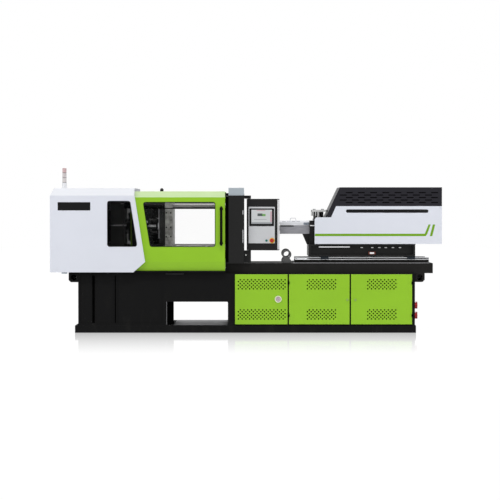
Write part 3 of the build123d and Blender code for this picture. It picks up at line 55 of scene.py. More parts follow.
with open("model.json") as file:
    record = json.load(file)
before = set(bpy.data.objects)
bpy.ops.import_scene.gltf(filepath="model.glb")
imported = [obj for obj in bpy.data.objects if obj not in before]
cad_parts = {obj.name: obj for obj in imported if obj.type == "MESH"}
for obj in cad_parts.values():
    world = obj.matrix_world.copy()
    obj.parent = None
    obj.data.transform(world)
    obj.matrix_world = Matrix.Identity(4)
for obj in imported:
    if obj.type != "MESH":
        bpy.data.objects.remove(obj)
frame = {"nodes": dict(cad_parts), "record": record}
joints = {joint["name"]: joint for joint in frame["record"]["behaviour"]["joints"]}
machine_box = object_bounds()


# Places and shapes

both_sides = (-1, 1)
least_radius = 0.0002  # of a plate's corners, however far they are inset
sharp_angle = math.radians(40.0)  # an edge that turns less than this is shaded smooth


class Place:
    """A plane on the machine: its origin, the way right and up on it, and the way out of it."""

    def __init__(self, origin, right=(1, 0, 0), up=(0, 0, 1)):
        self.origin = np.array(origin, float)
        self.right = np.array(right, float) / np.linalg.norm(right)
        self.up = np.array(up, float) / np.linalg.norm(up)
        self.out = np.cross(self.right, self.up)

    def at(self, across, up, out):
        """Points at these distances across, up and out of the plane."""
        across, up, out = (np.asarray(given)[..., None] for given in (across, up, out))
        return self.origin + across * self.right + up * self.up + out * self.out

    def line(self, points, out=0.0):
        """An outline of points across and up, at this height over the plane."""
        return self.at(*np.array(points, float).T, out)

    def moved(self, across, up, out=0.0):
        """The same plane with its origin moved on it."""
        return Place(self.at(across, up, out), self.right, self.up)


def level(x, y, z):
    """A level plane through this point."""
    return Place((x, y, z), (1, 0, 0), (0, 1, 0))


def corners(node):
    """Lowest and highest corner of a CAD node as arrays."""
    low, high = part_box(node)
    return np.array(low), np.array(high)


def front_of(node):
    """Y of a CAD node's front."""
    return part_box(node)[0][1]


def front_and_rear(node, inset=0.0):
    """Planes of a node's front and of the rear opposite it, with the sign that turns X on each."""
    half_width = -front_of(node) - inset
    return (
        ("front", Place((0, -half_width, 0)), 1),
        ("rear", Place((0, half_width, 0), (-1, 0, 0)), -1),
    )


def turned(points, turn):
    """An outline as it lies on the front, or on the rear when turn is -1, anticlockwise on both."""
    points = [(turn * across, up) for across, up in points]
    return points if turn > 0 else points[::-1]


def grid(columns, rows):
    """Points where columns and rows cross."""
    return [(x, z) for x in columns for z in rows]


def rectangle(left, right, bottom, top):
    """Corners of a rectangle, anticlockwise."""
    return ((left, bottom), (right, bottom), (right, top), (left, top))


def convex_outline(points, radius, grow=0.0, steps=5):
    """Corners of an anticlockwise convex outline rounded by arcs and moved outwards by a growth.

    At a corner p between edges whose outward normals are n and m, the arc's centre is
    p - radius (n + m) / (1 + n.m), and the arc turns from n to m at radius + grow.
    """
    points = np.array(points, float)
    edge = np.roll(points, -1, axis=0) - points
    edge /= np.linalg.norm(edge, axis=1, keepdims=True)
    after = np.stack([edge[:, 1], -edge[:, 0]], axis=1)
    before = np.roll(after, 1, axis=0)
    cosine = (before * after).sum(axis=1)
    sine = before[:, 0] * after[:, 1] - before[:, 1] * after[:, 0]
    centre = points - radius * (before + after) / (1 + cosine)[:, None]
    start = np.arctan2(before[:, 1], before[:, 0])
    turn = np.arctan2(sine, cosine)
    angle = start[:, None] + turn[:, None] * np.linspace(0, 1, steps + 1)
    way = np.stack([np.cos(angle), np.sin(angle)], axis=-1)
    return (centre[:, None, :] + (radius + grow) * way).reshape(-1, 2)


def rounded_outline(width, height, radius, steps=5):
    """Points round a rectangle about the origin, anticlockwise from its right-hand side."""
    right, top = width / 2, height / 2
    return convex_outline(rectangle(right, -right, top, -top), radius, 0.0, steps)


def raised(edge, height, inset):
    """Profile of a raised plate: up to the edge's height, then in by the inset to the top."""
    return (0.0, 0.0), (0.0, edge), (inset, height)


def plate_rings(place, width, height, radius, profile, steps=5):
    """Rounded rectangle carried out of its plane: each (inset, out) of the profile is one ring.

    A ring is the outline of a rectangle that is smaller by the inset all round, at that height.
    """
    return np.stack([
        place.line(rounded_outline(
            width - 2 * inset, height - 2 * inset, max(radius - inset, least_radius), steps,
        ), out)
        for inset, out in profile
    ])


def turned_rings(place, profile, around=24):
    """Surface of revolution about the line out of the plane: each (radius, out) is one ring."""
    radius, out = np.array(profile, float).T[:, :, None]
    angle = np.linspace(0, 2 * math.pi, around, endpoint=False)
    return place.at(radius * np.cos(angle), radius * np.sin(angle), out)


def prism_rings(place, points, thickness):
    """Straight-sided outline carried out of its plane."""
    return np.stack([place.line(points, out) for out in (0.0, thickness)])


def box_rings(low, high, bevel):
    """Box between two corners, bevelled round its near and far face."""
    low, high = np.array(low, float), np.array(high, float)
    middle = (low + high) / 2
    width, depth, height = high - low
    place = Place((middle[0], high[1], middle[2]))
    profile = ((bevel, 0.0), (0.0, bevel), (0.0, depth - bevel), (bevel, depth))
    return plate_rings(place, width, height, bevel, profile, 2)


def disc_rings(place, radius, thickness, bevel=0.001):
    """Round plate with a bevelled rim."""
    profile = ((radius, 0.0), (radius, thickness - bevel), (radius - bevel, thickness))
    return turned_rings(place, profile)


def band_rings(place, inner, outer, thickness):
    """Flat ring, to be built looped."""
    profile = ((inner, 0.0), (outer, 0.0), (outer, thickness), (inner, thickness))
    return turned_rings(place, profile, 32)


def screw_rings(place, radius):
    """Button-head screw with a round socket, of few faces because it is repeated."""
    shares = ((1.0, 0.0), (1.0, 0.25), (0.7, 0.6), (0.4, 0.6), (0.4, 0.2))
    return turned_rings(place, radius * np.array(shares), 10)


def frame_rings(place, inner, outer, rise, sunk=0.0):
    """Flat frame between two outlines of as many corners, to be built looped."""
    sides = ((inner, -sunk), (outer, -sunk), (outer, rise), (inner, rise))
    return np.stack([place.line(points, out) for points, out in sides])


def repeat(rings, place, points):
    """Copies of one shell, each moved to one point on the plane."""
    return rings[None] + (place.line(points) - place.origin)[:, None, None, :]


def shell_faces(rings, around, looped):
    """Corner numbers of the quads between rings; a looped shell's last ring meets its first."""
    ring = np.arange(rings if looped else rings - 1)[:, None]
    step = np.arange(around)[None, :]
    ahead = (step + 1) % around
    here, above = ring * around, (ring + 1) % rings * around
    quads = [here + step, here + ahead, above + ahead, above + step]
    return np.stack(quads, axis=-1).reshape(-1, 4)


def signed_volume(points, quads, caps):
    """Volume inside a shell, negative when its faces point inwards: the sum of its tetrahedra."""
    a, b, c, d = (points[quads[:, k]] for k in range(4))
    volume = np.einsum("ij,ij->", a, np.cross(b, c)) + np.einsum("ij,ij->", a, np.cross(c, d))
    for cap in caps:
        ends = np.cross(points[cap[1:-1]], points[cap[2:]])
        volume += np.einsum("j,ij->", points[cap[0]], ends)
    return volume


def add_object(name, data):
    """A new object in the scene."""
    thing = bpy.data.objects.new(name, data)
    bpy.context.scene.collection.objects.link(thing)
    return thing


def build_piece(name, body, finish, shells, looped=False):
    """One mesh object out of closed shells, in place, riding on a body.

    Each shell is an array of rings, or an array of copies of such shells. A shell is closed by a
    flat cap on its first and last ring, or, when looped, by joining the last ring to the first.
    """
    points, faces, first = [], [], 0
    for shell in shells:
        copies = shell if shell.ndim == 4 else shell[None]
        rings, around = copies.shape[1:3]
        quads = shell_faces(rings, around, looped)
        ring = np.arange(around)
        caps = [] if looped else [ring[::-1], (rings - 1) * around + ring]
        centred = copies[0].reshape(-1, 3) - copies[0].mean(axis=(0, 1))
        if signed_volume(centred, quads, caps) < 0:
            quads = quads[:, ::-1]
            caps = [cap[::-1] for cap in caps]
        for copy in copies:
            points.append(copy.reshape(-1, 3))
            faces += (quads + first).tolist() + [(cap + first).tolist() for cap in caps]
            first += rings * around
    mesh = bpy.data.meshes.new(name)
    mesh.from_pydata(np.concatenate(points).tolist(), [], faces)
    mesh.polygons.foreach_set("use_smooth", np.ones(len(mesh.polygons), bool))
    mesh.set_sharp_from_angle(angle=sharp_angle)
    mesh.materials.append(finishes[finish])
    mesh.update()
    piece = add_object(name, mesh)
    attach(piece, body)


def add_boxes(name, body, finish, boxes, bevel=0.002):
    """One piece of bevelled boxes, each between two corners in the machine's frame."""
    build_piece(name, body, finish, [box_rings(low, high, bevel) for low, high in boxes])


def add_screws(name, body, finish, place, points, radius):
    """One piece of like screws at points across and up on a plane."""
    build_piece(name, body, finish, [repeat(screw_rings(place, radius), place, points)])


# Finishes


class Nodes:
    """A node tree that grows one node at a time: numbers go on sockets, and sockets are linked."""

    def __init__(self, owner, shader):
        owner.use_nodes = True
        self.tree = owner.node_tree
        self.shader = self.tree.nodes[shader]

    def set(self, node, socket, value):
        """Links a socket, or sets a value, on one input."""
        if isinstance(value, bpy.types.NodeSocket):
            self.tree.links.new(value, node.inputs[socket])
        else:
            node.inputs[socket].default_value = value

    def add(self, kind, inputs=None, **settings):
        """A new node with these inputs and settings."""
        node = self.tree.nodes.new("ShaderNode" + kind)
        for key, value in settings.items():
            setattr(node, key, value)
        for socket, value in (inputs or {}).items():
            self.set(node, socket, value)
        return node

    def math(self, operation, *values):
        """Result of one operation on these values."""
        values = dict(enumerate(values))
        return self.add("Math", values, operation=operation).outputs["Value"]

    def between(self, source, low, high, start=0.3, end=0.7):
        """Carries a grey value from start..end to low..high."""
        ends = {"From Min": start, "From Max": end, "To Min": low, "To Max": high}
        return self.add("MapRange", {"Value": source, **ends}).outputs["Result"]

    def along(self, axis, vector):
        """One coordinate of a vector."""
        return self.add("SeparateXYZ", {"Vector": vector}).outputs[axis]

    def seen(self):
        """Grey value: 1 for what is seen straight, in a mirror or through glass, and else 0."""
        path = self.add("LightPath").outputs
        mirrored = self.math("MAXIMUM", path["Is Camera Ray"], path["Is Glossy Ray"])
        return self.math("MAXIMUM", mirrored, path["Is Transmission Ray"])


class Finish(Nodes):
    """A material on a Principled shader, whose looks follow noise on the object's coordinates."""

    def __init__(self, name, colour, roughness, gloss=0.5, **shader):
        self.material = bpy.data.materials.new(name)
        super().__init__(self.material, "Principled BSDF")
        self.colour, self.roughness = tuple(colour)[:3], roughness
        self.set(self.shader, "Base Color", (*self.colour, 1.0))
        self.set(self.shader, "Roughness", roughness)
        self.set(self.shader, "Specular IOR Level", gloss)
        for socket, value in shader.items():
            self.set(self.shader, socket, value)
        self.place = self.add("TexCoord").outputs["Object"]

    def noise(self, scale, detail=3.0, stretch=(1.0, 1.0, 1.0)):
        """Noise of so many grains per metre, drawn out along an axis by a smaller stretch there."""
        mapped = self.add("Mapping", {"Vector": self.place, "Scale": stretch}).outputs["Vector"]
        inputs = {"Vector": mapped, "Scale": scale, "Detail": detail}
        return self.add("TexNoise", inputs).outputs["Fac"]

    def mix(self, factor, first, second):
        """Colour between two colours by a grey value."""
        first, second = (
            given if isinstance(given, bpy.types.NodeSocket) else (*tuple(given)[:3], 1.0)
            for given in (first, second)
        )
        inputs = {"Factor": factor, 6: first, 7: second}
        return self.add("Mix", inputs, data_type="RGBA").outputs[2]

    def shade(self, factor):
        """The finish's colour made lighter or darker."""
        return tuple(min(1.0, channel * factor) for channel in self.colour)

    def paint(self, colour):
        """Takes a socket as the base colour."""
        self.set(self.shader, "Base Color", colour)
        return colour

    def tone(self, noise, darker, lighter):
        """Base colour that a noise carries between a darker and a lighter one of its own hue."""
        share = self.between(noise, 0.0, 1.0)
        return self.paint(self.mix(share, self.shade(darker), self.shade(lighter)))

    def uneven(self, noise, smoother, rougher):
        """Roughness that a noise carries from so far below the plain one to so far above it."""
        low, high = self.roughness - smoother, self.roughness + rougher
        self.set(self.shader, "Roughness", self.between(noise, low, high))

    def bump(self, height, depth, strength):
        """Surface relief of this depth."""
        inputs = {"Height": height, "Distance": depth, "Strength": strength}
        self.set(self.shader, "Normal", self.add("Bump", inputs).outputs["Normal"])


def powder_coat(name, colour, roughness, gloss, mottle=0.03, top_sheen=0.0):
    """Sprayed and baked coat: faint clouds of tone, uneven gloss and a fine orange peel.

    The last argument is the share of a pale painted highlight on a face that looks half upwards.
    """
    coat = Finish(name, colour, roughness, gloss)
    clean = coat.tone(coat.noise(1.7, 4.0), 1 - mottle, 1 + mottle)
    if top_sheen:
        # painted highlight: upward faces are mixed towards a pale colour, a sheen of light from
        # above
        upward = coat.along("Z", coat.add("NewGeometry").outputs["Normal"])
        dust_and_sheen = coat.between(upward, 0.0, top_sheen, 0.1, 0.7)
        coat.paint(coat.mix(dust_and_sheen, clean, (0.95, 0.95, 0.92)))
    coat.uneven(coat.noise(6.0, 5.0, (1.0, 1.0, 0.35)), 0.04, 0.06)
    coat.bump(coat.noise(700.0, 2.0), 0.00025, 0.5)
    return coat


def worn_coat(name, colour, roughness):
    """Dark coat of the frame: dust that gathers towards the floor, scuffs and a coarse peel."""
    coat = Finish(name, colour, roughness, 0.1)
    near_floor = coat.between(coat.along("Z", coat.place), 1.0, 0.0, 0.0, 1.1)
    scuffs = coat.between(coat.noise(9.0, 8.0, (1.0, 1.0, 0.3)), 0.0, 1.0, 0.52, 0.72)
    dust_and_sheen = coat.math("MULTIPLY", near_floor, scuffs)
    coat.paint(coat.mix(dust_and_sheen, coat.colour, (0.011, 0.0108, 0.0104)))
    worn = coat.between(scuffs, roughness, roughness + 0.18, 0.0, 1.0)
    coat.set(coat.shader, "Roughness", worn)
    coat.bump(coat.noise(420.0, 2.0), 0.0004, 0.5)
    return coat


def casting(name, colour, roughness=0.55, low=0.72, grain=5.0):
    """Painted casting: sand grain under the paint and darker oily clouds."""
    iron = Finish(name, colour, roughness, 0.3)
    oil = iron.noise(grain, 6.0)
    iron.tone(oil, low, 1.12)
    iron.uneven(oil, 0.15, 0.1)
    iron.bump(iron.noise(160.0, 4.0), 0.0012, 0.6)
    return iron


def machined(name, colour, roughness, stretch, grain=260.0, depth=0.0002):
    """Bare steel with fine tool marks, drawn out where the stretch is small."""
    steel = Finish(name, colour, roughness, Metallic=1.0)
    marks = steel.noise(grain, 3.0, stretch)
    steel.tone(marks, 0.82, 1.1)
    steel.uneven(steel.noise(7.0, 4.0), 0.06, 0.1)
    steel.bump(marks, depth, 0.4)
    return steel


def sheet_metal(name, colour, roughness, depth):
    """Rolled sheet, brushed along X."""
    return machined(name, colour, roughness, (0.05, 1.0, 1.0), 180.0, depth)


def darker_left_of(finish, edge, dark):
    """Gives a finish a darker colour at places left of this X: painted shade."""
    left = finish.along("X", finish.place)
    share = finish.between(left, 0.0, 1.0, edge - 0.002, edge + 0.002)
    bright = finish.shader.inputs["Base Color"].links[0].from_socket
    finish.paint(finish.mix(share, dark, bright))
    return finish


def dull_black(name, grey, roughness, gloss, clouds, darker, lighter, grain, depth):
    """Dull black that clouds of dust or chalk make uneven."""
    dark = Finish(name, (grey,) * 3, roughness, gloss)
    dark.tone(dark.noise(*clouds), darker, lighter)
    dark.bump(dark.noise(grain, 2.0), depth, 0.5)
    return dark


def pane(name, colour, alpha, gloss):
    """Clear or smoked sheet that is seen through, with faint wipe marks in its gloss."""
    sheet = Finish(name, colour, 0.04, gloss, Alpha=alpha)
    wipes = sheet.noise(4.0, 5.0, (0.5, 1.0, 1.6))
    sheet.uneven(wipes, 0.0, 0.08)
    sheet.tone(wipes, 0.97, 1.03)
    return sheet


def grained_plastic(name, colour, roughness, gloss=0.3):
    """Moulded plastic with a fine grain."""
    plastic = Finish(name, colour, roughness, gloss)
    plastic.tone(plastic.noise(12.0), 0.93, 1.06)
    grains = plastic.noise(900.0, 2.0)
    plastic.uneven(grains, 0.05, 0.05)
    plastic.bump(grains, 0.0003, 0.6)
    return plastic


def lit(name, *colour):
    """Lit field of the screen: it glows in its own colour, with the faint rows of a display."""
    field = Finish(name, (0.02, 0.02, 0.02), 0.3)
    rows = field.between(field.noise(60.0, 1.0, (1.0, 1.0, 8.0)), 0.0, 1.0)
    field.tone(field.noise(500.0), 0.8, 1.2)
    glow = field.mix(rows, [0.96 * channel for channel in colour], colour)
    field.set(field.shader, "Emission Color", glow)
    field.set(field.shader, "Emission Strength", 0.85)
    return field


def beacon_tiers(name, low, high):
    """Signal beacon: grey foot, clear tiers with dark joints and a red cap, by height."""
    tiers = Finish(name, (0.5, 0.5, 0.5), 0.25, 0.6)
    share = tiers.between(tiers.along("Z", tiers.place), 0.0, 1.0, low[2], high[2])
    ramp = tiers.add("ValToRGB", {"Fac": share})
    stops = ramp.color_ramp
    stops.interpolation = "CONSTANT"
    joint = (0.20, 0.19, 0.19)
    bands = (
        (0.0, (0.80, 0.81, 0.84)), (0.26, (0.34, 0.34, 0.36)), (0.29, (0.64, 0.60, 0.60)),
        (0.50, joint), (0.53, (0.60, 0.55, 0.56)), (0.74, joint), (0.77, (0.58, 0.40, 0.41)),
    )
    while len(stops.elements) < len(bands):
        stops.elements.new(1.0)
    for stop, (start, colour) in zip(stops.elements, bands):
        stop.position = start
        stop.color = (*colour, 1.0)
    tiers.paint(ramp.outputs["Color"])
    ribs = tiers.add("TexWave", {"Vector": tiers.place, "Scale": 60.0}, bands_direction="Z")
    tiers.bump(ribs.outputs["Fac"], 0.0008, 0.5)
    return tiers


finishes = {}
painted_shade_edge = -1.243  # painted shade: left of this X, at rest, the moving platen and the tie bars are darker


def make_finishes(colours):
    """All the machine's finishes, from the colours of the panel."""
    made = dict(
        # the white and the green coats carry a painted highlight on their upward faces
        white=powder_coat(
            "white_powder_coat", colours.white_cover, 0.5, 0.35, mottle=0.012, top_sheen=0.46,
        ),
        green=powder_coat("green_powder_coat", colours.green_cover, 0.32, 0.3, top_sheen=0.56),
        roof=powder_coat("dark_roof_coat", colours.dark_roof, 0.4, 0.25),
        carriage=powder_coat("carriage_coat", colours.carriage, 0.45, 0.2),
        column=powder_coat("column_coat", colours.column, 0.45, 0.2),
        grey=powder_coat("grey_powder_coat", colours.grey_box, 0.42, 0.4),
        gloss_black=powder_coat("gloss_black", (0.003, 0.003, 0.0035), 0.2, 0.15),
        face=powder_coat("panel_face", (0.58, 0.59, 0.61), 0.45, 0.3),
        pale_side=powder_coat("pale_side_plate", (0.94, 0.94, 0.96), 0.4, 0.5, mottle=0.01),
        stripe=powder_coat("stripe_green", (0.170, 0.365, 0.010), 0.4, 0.2),
        lock=powder_coat("lock_coat", (0.26, 0.42, 0.08), 0.35, 0.4),
        bed=worn_coat("bed_coat", (0.0130, 0.0123, 0.0115), 0.6),
        frame=worn_coat("frame_coat", colours.frame, 0.68),
        platen=casting("platen_paint", colours.platen, 0.45),
        # painted shade: the moving platen is darker left of the edge, and so are the tie bars below
        moving_platen=darker_left_of(
            casting("moving_platen_paint", (0.38, 0.38, 0.355), 0.45, 0.30, 14.0),
            painted_shade_edge, (0.012, 0.0125, 0.012),
        ),
        dark_casting=casting("dark_casting", (0.010, 0.011, 0.012)),
        guard=sheet_metal("guard_sheet", colours.guard, 0.42, 0.00008),
        pale_guard=sheet_metal("pale_guard_sheet", colours.pale_guard, 0.38, 0.00005),
        polished=sheet_metal("polished_sheet", (0.88, 0.88, 0.90), 0.28, 0.00004),
        tray=machined("tray_sheet", (0.27, 0.27, 0.28), 0.5, (1.0, 0.1, 1.0)),
        tie_bar=darker_left_of(
            machined("hard_chrome", (0.24, 0.235, 0.23), 0.42, (1.0, 0.06, 0.06), depth=0.00005),
            painted_shade_edge, (0.010, 0.010, 0.010),
        ),
        steel=machined("turned_steel", (0.50, 0.51, 0.52), 0.32, (1.0, 0.08, 0.08)),
        rail=machined("ground_rail", (0.74, 0.75, 0.77), 0.3, (0.04, 1.0, 1.0)),
        lug=machined("lifting_lug_steel", (0.10, 0.10, 0.10), 0.36, (1.0, 1.0, 1.0), 60.0, 0.0003),
        stainless=machined("brushed_stainless", (0.60, 0.60, 0.60), 0.30, (0.04, 1.0, 1.0)),
        heater=machined("heater_band", (0.45, 0.44, 0.43), 0.38, (1.0, 0.1, 0.1)),
        smoked=pane("smoked_pane", (0.0009, 0.0009, 0.0012), 0.50, 0.05),
        clear=pane("clear_pane", (0.10, 0.11, 0.11), 0.010, 0.3),
        # dead black for black parts, and for the sheets and strips that are painted shade
        void=dull_black("matt_black_and_shade", 0.0012, 1.0, 0.0, (14.0, 4.0), 0.6, 1.5, 300.0, 0.0004),
        seal=dull_black("black_rubber", 0.004, 0.75, 0.1, (30.0, 5.0), 0.7, 1.8, 500.0, 0.0003),
        black=grained_plastic("black_plastic", (0.006, 0.006, 0.0065), 0.45, 0.2),
        red=grained_plastic("red_plastic", (0.42, 0.02, 0.02), 0.35),
        yellow=grained_plastic("yellow_plastic", (0.80, 0.52, 0.03), 0.4),
        teal=grained_plastic("green_button_cap", (0.01, 0.16, 0.13), 0.3),
        cream=grained_plastic("cream_plastic", (0.82, 0.84, 0.60), 0.4),
        pink=grained_plastic("pale_dial", (0.52, 0.42, 0.46), 0.4),
        blue_grey=grained_plastic("blue_grey_plastic", (0.30, 0.34, 0.40), 0.4),
        wiper=grained_plastic("dark_blue_wiper", (0.010, 0.020, 0.032), 0.4),
        rust_rim=grained_plastic("red_brown_rim", (0.20, 0.05, 0.03), 0.5),
        screen_grey=lit("screen_grey", 0.60, 0.62, 0.63),
        screen_pink=lit("screen_pink", 0.56, 0.34, 0.39),
        screen_dark=lit("screen_dark", 0.04, 0.06, 0.06),
        screen_green=lit("screen_green", 0.14, 0.36, 0.08),
        screen_bar=lit("screen_bar", 0.24, 0.26, 0.28),
        beacon=beacon_tiers("beacon_tiers", *corners("signal_beacon")),
    )
    finishes.update((key, finish.material) for key, finish in made.items())


node_finishes = {
    "frame": "plinth clamp_base cabinet_frame guard_frame rear_cabinet_panels",
    "bed": "bed_beam",
    "white": "front_clamp_cover rear_clamp_cover clamp_end_cover clamp_hood injection_covers",
    "green": "front_gate rear_gate cabinet_panel left_door right_door",
    "roof": "injection_roof",
    "carriage": "carriage_base feed_housing",
    "column": "column_covers hmi_brackets",
    "grey": "terminal_box drive_units",
    "guard": "lower_guard",
    "pale_guard": "heater_guard",
    "platen": "fixed_platen end_platen injection_plate",
    "moving_platen": "moving_platen",
    "dark_casting": (
        "upper_rear_links lower_rear_links upper_front_links lower_front_links "
        "upper_crosshead_links lower_crosshead_links crosshead closing_motor"
    ),
    "tie_bar": "tie_bars",
    "steel": "end_platen_nuts closing_screw ejector plasticizing_screw",
    "lug": "lifting_eyes",
    "rail": "carriage_rails",
    "stainless": "hopper_plate",
    "heater": "barrel",
    "smoked": "clamp_windows",
    "clear": "front_gate_window rear_gate_window",
    "black": "front_gate_handle hmi_housing",
    "lock": "left_door_lock right_door_lock",
    "gloss_black": "hmi_screen",
    "red": "emergency_stop power_sockets upper_socket_lid lower_socket_lid",
    "teal": "start_button",
    "beacon": "signal_beacon",
}


# What a user may change


def length(name, description, default):
    return FloatProperty(
        name=name, description=description, default=default, min=0.0, unit="LENGTH"
    )


def power(name, description, default):
    return FloatProperty(
        name=name, description=description, default=default, min=0.0, subtype="POWER"
    )


def colour(name, description, *default):
    return FloatVectorProperty(
        name=name, description=description, default=default, size=3, min=0.0, max=1.0,
        subtype="COLOR",
    )


class MachineColours(bpy.types.PropertyGroup):
    """Colours of the machine's finishes."""

    white_cover: colour("White covers", "Coat of clamp and injection covers", 0.727, 0.75, 0.825)
    green_cover: colour("Green panels", "Coat of the gates and cabinet doors", 0.278, 0.541, 0.018)
    dark_roof: colour("Dark roof", "Coat of the injection unit's roof", 0.0070, 0.0063, 0.0110)
    carriage: colour("Carriage", "Coat of the carriage and the feed housing", 0.010, 0.010, 0.010)
    column: colour("Columns", "Coat of the covers beside the fixed platen", 0.0060, 0.0060, 0.0060)
    grey_box: colour("Terminal box", "Coat of the box on the column", 0.38, 0.43, 0.47)
    guard: colour("Lower heater guard", "Sheet of the trough under the barrel", 0.31, 0.31, 0.335)
    pale_guard: colour("Upper heater guard", "Sheet of the lid over the barrel", 0.70, 0.71, 0.74)
    frame: colour("Frame", "Coat of the base and the cabinet", 0.004, 0.004, 0.0042)
    platen: colour("Platens", "Paint of the platens", 0.13, 0.132, 0.125)


class MachineSizes(bpy.types.PropertyGroup):
    """Sizes of the pieces that are added to the CAD frame."""

    plate_width: length("Plate width", "Bare plate on the clamp cover", 0.488)
    plate_height: length("Plate height", "Bare plate on the clamp cover", 0.123)
    stripe_height: length("Stripe height", "Green line along the injection cover", 0.036)
    seal_width: length("Seal width", "Rubber round the windows", 0.009)
    screen_width: length("Screen width", "Lit part of the control panel's screen", 0.314)
    screen_height: length("Screen height", "Lit part of the control panel's screen", 0.210)


class StudioSettings(bpy.types.PropertyGroup):
    """Camera and light."""

    camera_distance: length("Camera distance", "From the machine's front to the camera", 30.0)
    camera_height: length("Camera height", "Camera above the floor", 1.87)
    picture_width: length("Picture width", "What the picture spans at the machine's front", 7.47)
    ambient: FloatProperty(
        name="Ambient", description="Light from all round", default=0.455, min=0.0
    )
    key_power: power("Key power", "Power of the long lamp over the front", 562.0)
    fill_power: power("Fill power", "Power of the lamps at both ends", 175.0)


class MachineProperties(bpy.types.PropertyGroup):
    """All settings of the machine."""

    colours: PointerProperty(type=MachineColours)
    sizes: PointerProperty(type=MachineSizes)
    studio: PointerProperty(type=StudioSettings)


# Operators


class MACHINE_OT_finishes(bpy.types.Operator):
    """Make the finishes and put them on the CAD nodes."""

    bl_idname = "machine.finishes"
    bl_label = "Finishes"

    def execute(self, context):
        make_finishes(context.scene.machine.colours)
        for name, members in node_finishes.items():
            for member in members.split():
                for slot in frame["nodes"][member].material_slots:
                    slot.material = finishes[name]
        return {"FINISHED"}


class MACHINE_OT_name_plate(bpy.types.Operator):
    """Add the bare plate on the clamp's side cover."""

    bl_idname = "machine.name_plate"
    bl_label = "Bare plate"

    def execute(self, context):
        sizes = context.scene.machine.sizes
        low, high = corners("front_clamp_cover")
        place = Place((low[0] + 0.361, low[1], high[2] - 0.160))
        profile = raised(0.0022, 0.003, 0.0012)
        rings = plate_rings(place, sizes.plate_width, sizes.plate_height, 0.006, profile)
        build_piece("cover_plate", "machine", "gloss_black", [rings])
        return {"FINISHED"}


# Outlines of the windows and of the black sheets round them that are painted shade, seen from the
# front
clamp_window = ((-2.081, 1.300), (-1.643, 1.300), (-1.749, 1.972), (-2.081, 1.972))
clamp_shade_sheet = rectangle(-2.930, -1.705, 0.940, 2.045)
gate_windows = {
    "front": ((-1.444, 1.297), (-0.476, 1.297), (-0.476, 1.957), (-1.549, 1.957)),
    "rear": rectangle(-1.215, -0.476, 1.297, 1.905),
}
gate_shade_sheet = rectangle(-1.734, -0.332, 1.072, 2.025)
gate_inset = 0.035  # from the clamp cover's face to the gate's
window_corner = 0.03


class MACHINE_OT_window_seals(bpy.types.Operator):
    """Add the rubber round the windows, and black sheets that stand in for the shade inside the
    sheets that hold them.
    """

    bl_idname = "machine.window_seals"
    bl_label = "Window seals"

    def execute(self, context):
        width = context.scene.machine.sizes.seal_width
        for side, place, turn in front_and_rear("front_clamp_cover"):
            self.add(side + "_clamp", "machine", place, turn, clamp_window, clamp_shade_sheet, width)
        for side, place, turn in front_and_rear("front_clamp_cover", gate_inset):
            gate = side + "_gate"
            self.add(gate, gate, place, turn, gate_windows[side], gate_shade_sheet, width)
        return {"FINISHED"}

    def add(self, name, body, place, turn, window, sheet, width):
        """The seal and the black sheet of painted shade of one window, whose outline is given as
        seen from the front.
        """
        inner, hole, outer = (
            convex_outline(turned(window, turn), window_corner, grow)
            for grow in (-0.3 * width, 0.019, 0.7 * width)
        )
        shade_outline = convex_outline(turned(sheet, turn), window_corner)
        seal = frame_rings(place, inner, outer, 0.003, 0.001)
        # painted shade: a black sheet round the window stands in for the shade inside the machine
        shade_sheet = frame_rings(place.moved(0.0, 0.0, -0.010), hole, shade_outline, 0.005)
        for piece, rings in (("_seal", seal), ("_shade_sheet", shade_sheet)):
            build_piece(name + piece, body, "seal", [rings], looped=True)


class MACHINE_OT_gate_details(bpy.types.Operator):
    """Add the knob over the front gate, the gate's grip, bolt and guide, and the cover's catch."""

    bl_idname = "machine.gate_details"
    bl_label = "Gate details"

    def execute(self, context):
        low = corners("front_gate")[0]
        add_boxes("knob_bracket", "machine", "frame", (
            ((-1.296, -0.666, 2.070), (-1.258, -0.606, 2.094)),
        ))
        knob = turned_rings(level(low[0] + 0.463, -0.635, 2.093), (
            (0.016, 0.0), (0.016, 0.010), (0.011, 0.014), (0.011, 0.022), (0.022, 0.028),
            (0.027, 0.040), (0.027, 0.056), (0.020, 0.070), (0.008, 0.077),
        ))
        build_piece("frame_knob", "machine", "black", [knob])
        add_boxes("gate_handle_grip", "front_gate", "void", (
            ((-0.4010, -0.8195, 1.318), (-0.3635, -0.7950, 1.887)),
        ), 0.006)
        bolt = disc_rings(Place(low + (0.477, 0.068, 0.027)), 0.009, 0.008)
        build_piece("gate_hem_bolt", "front_gate", "black", [bolt])
        add_boxes("gate_guide", "machine", "carriage", (
            ((-1.219, -0.726, 0.872), (-0.949, -0.699, 0.898)),
            ((-1.180, -0.732, 0.878), (-1.140, -0.699, 0.892)),
            ((-1.030, -0.732, 0.878), (-0.990, -0.699, 0.892)),
        ))
        add_boxes("cover_catch", "machine", "grey", (
            ((-2.772, -0.792, 0.888), (-2.686, -0.768, 0.911)),
        ))
        return {"FINISHED"}


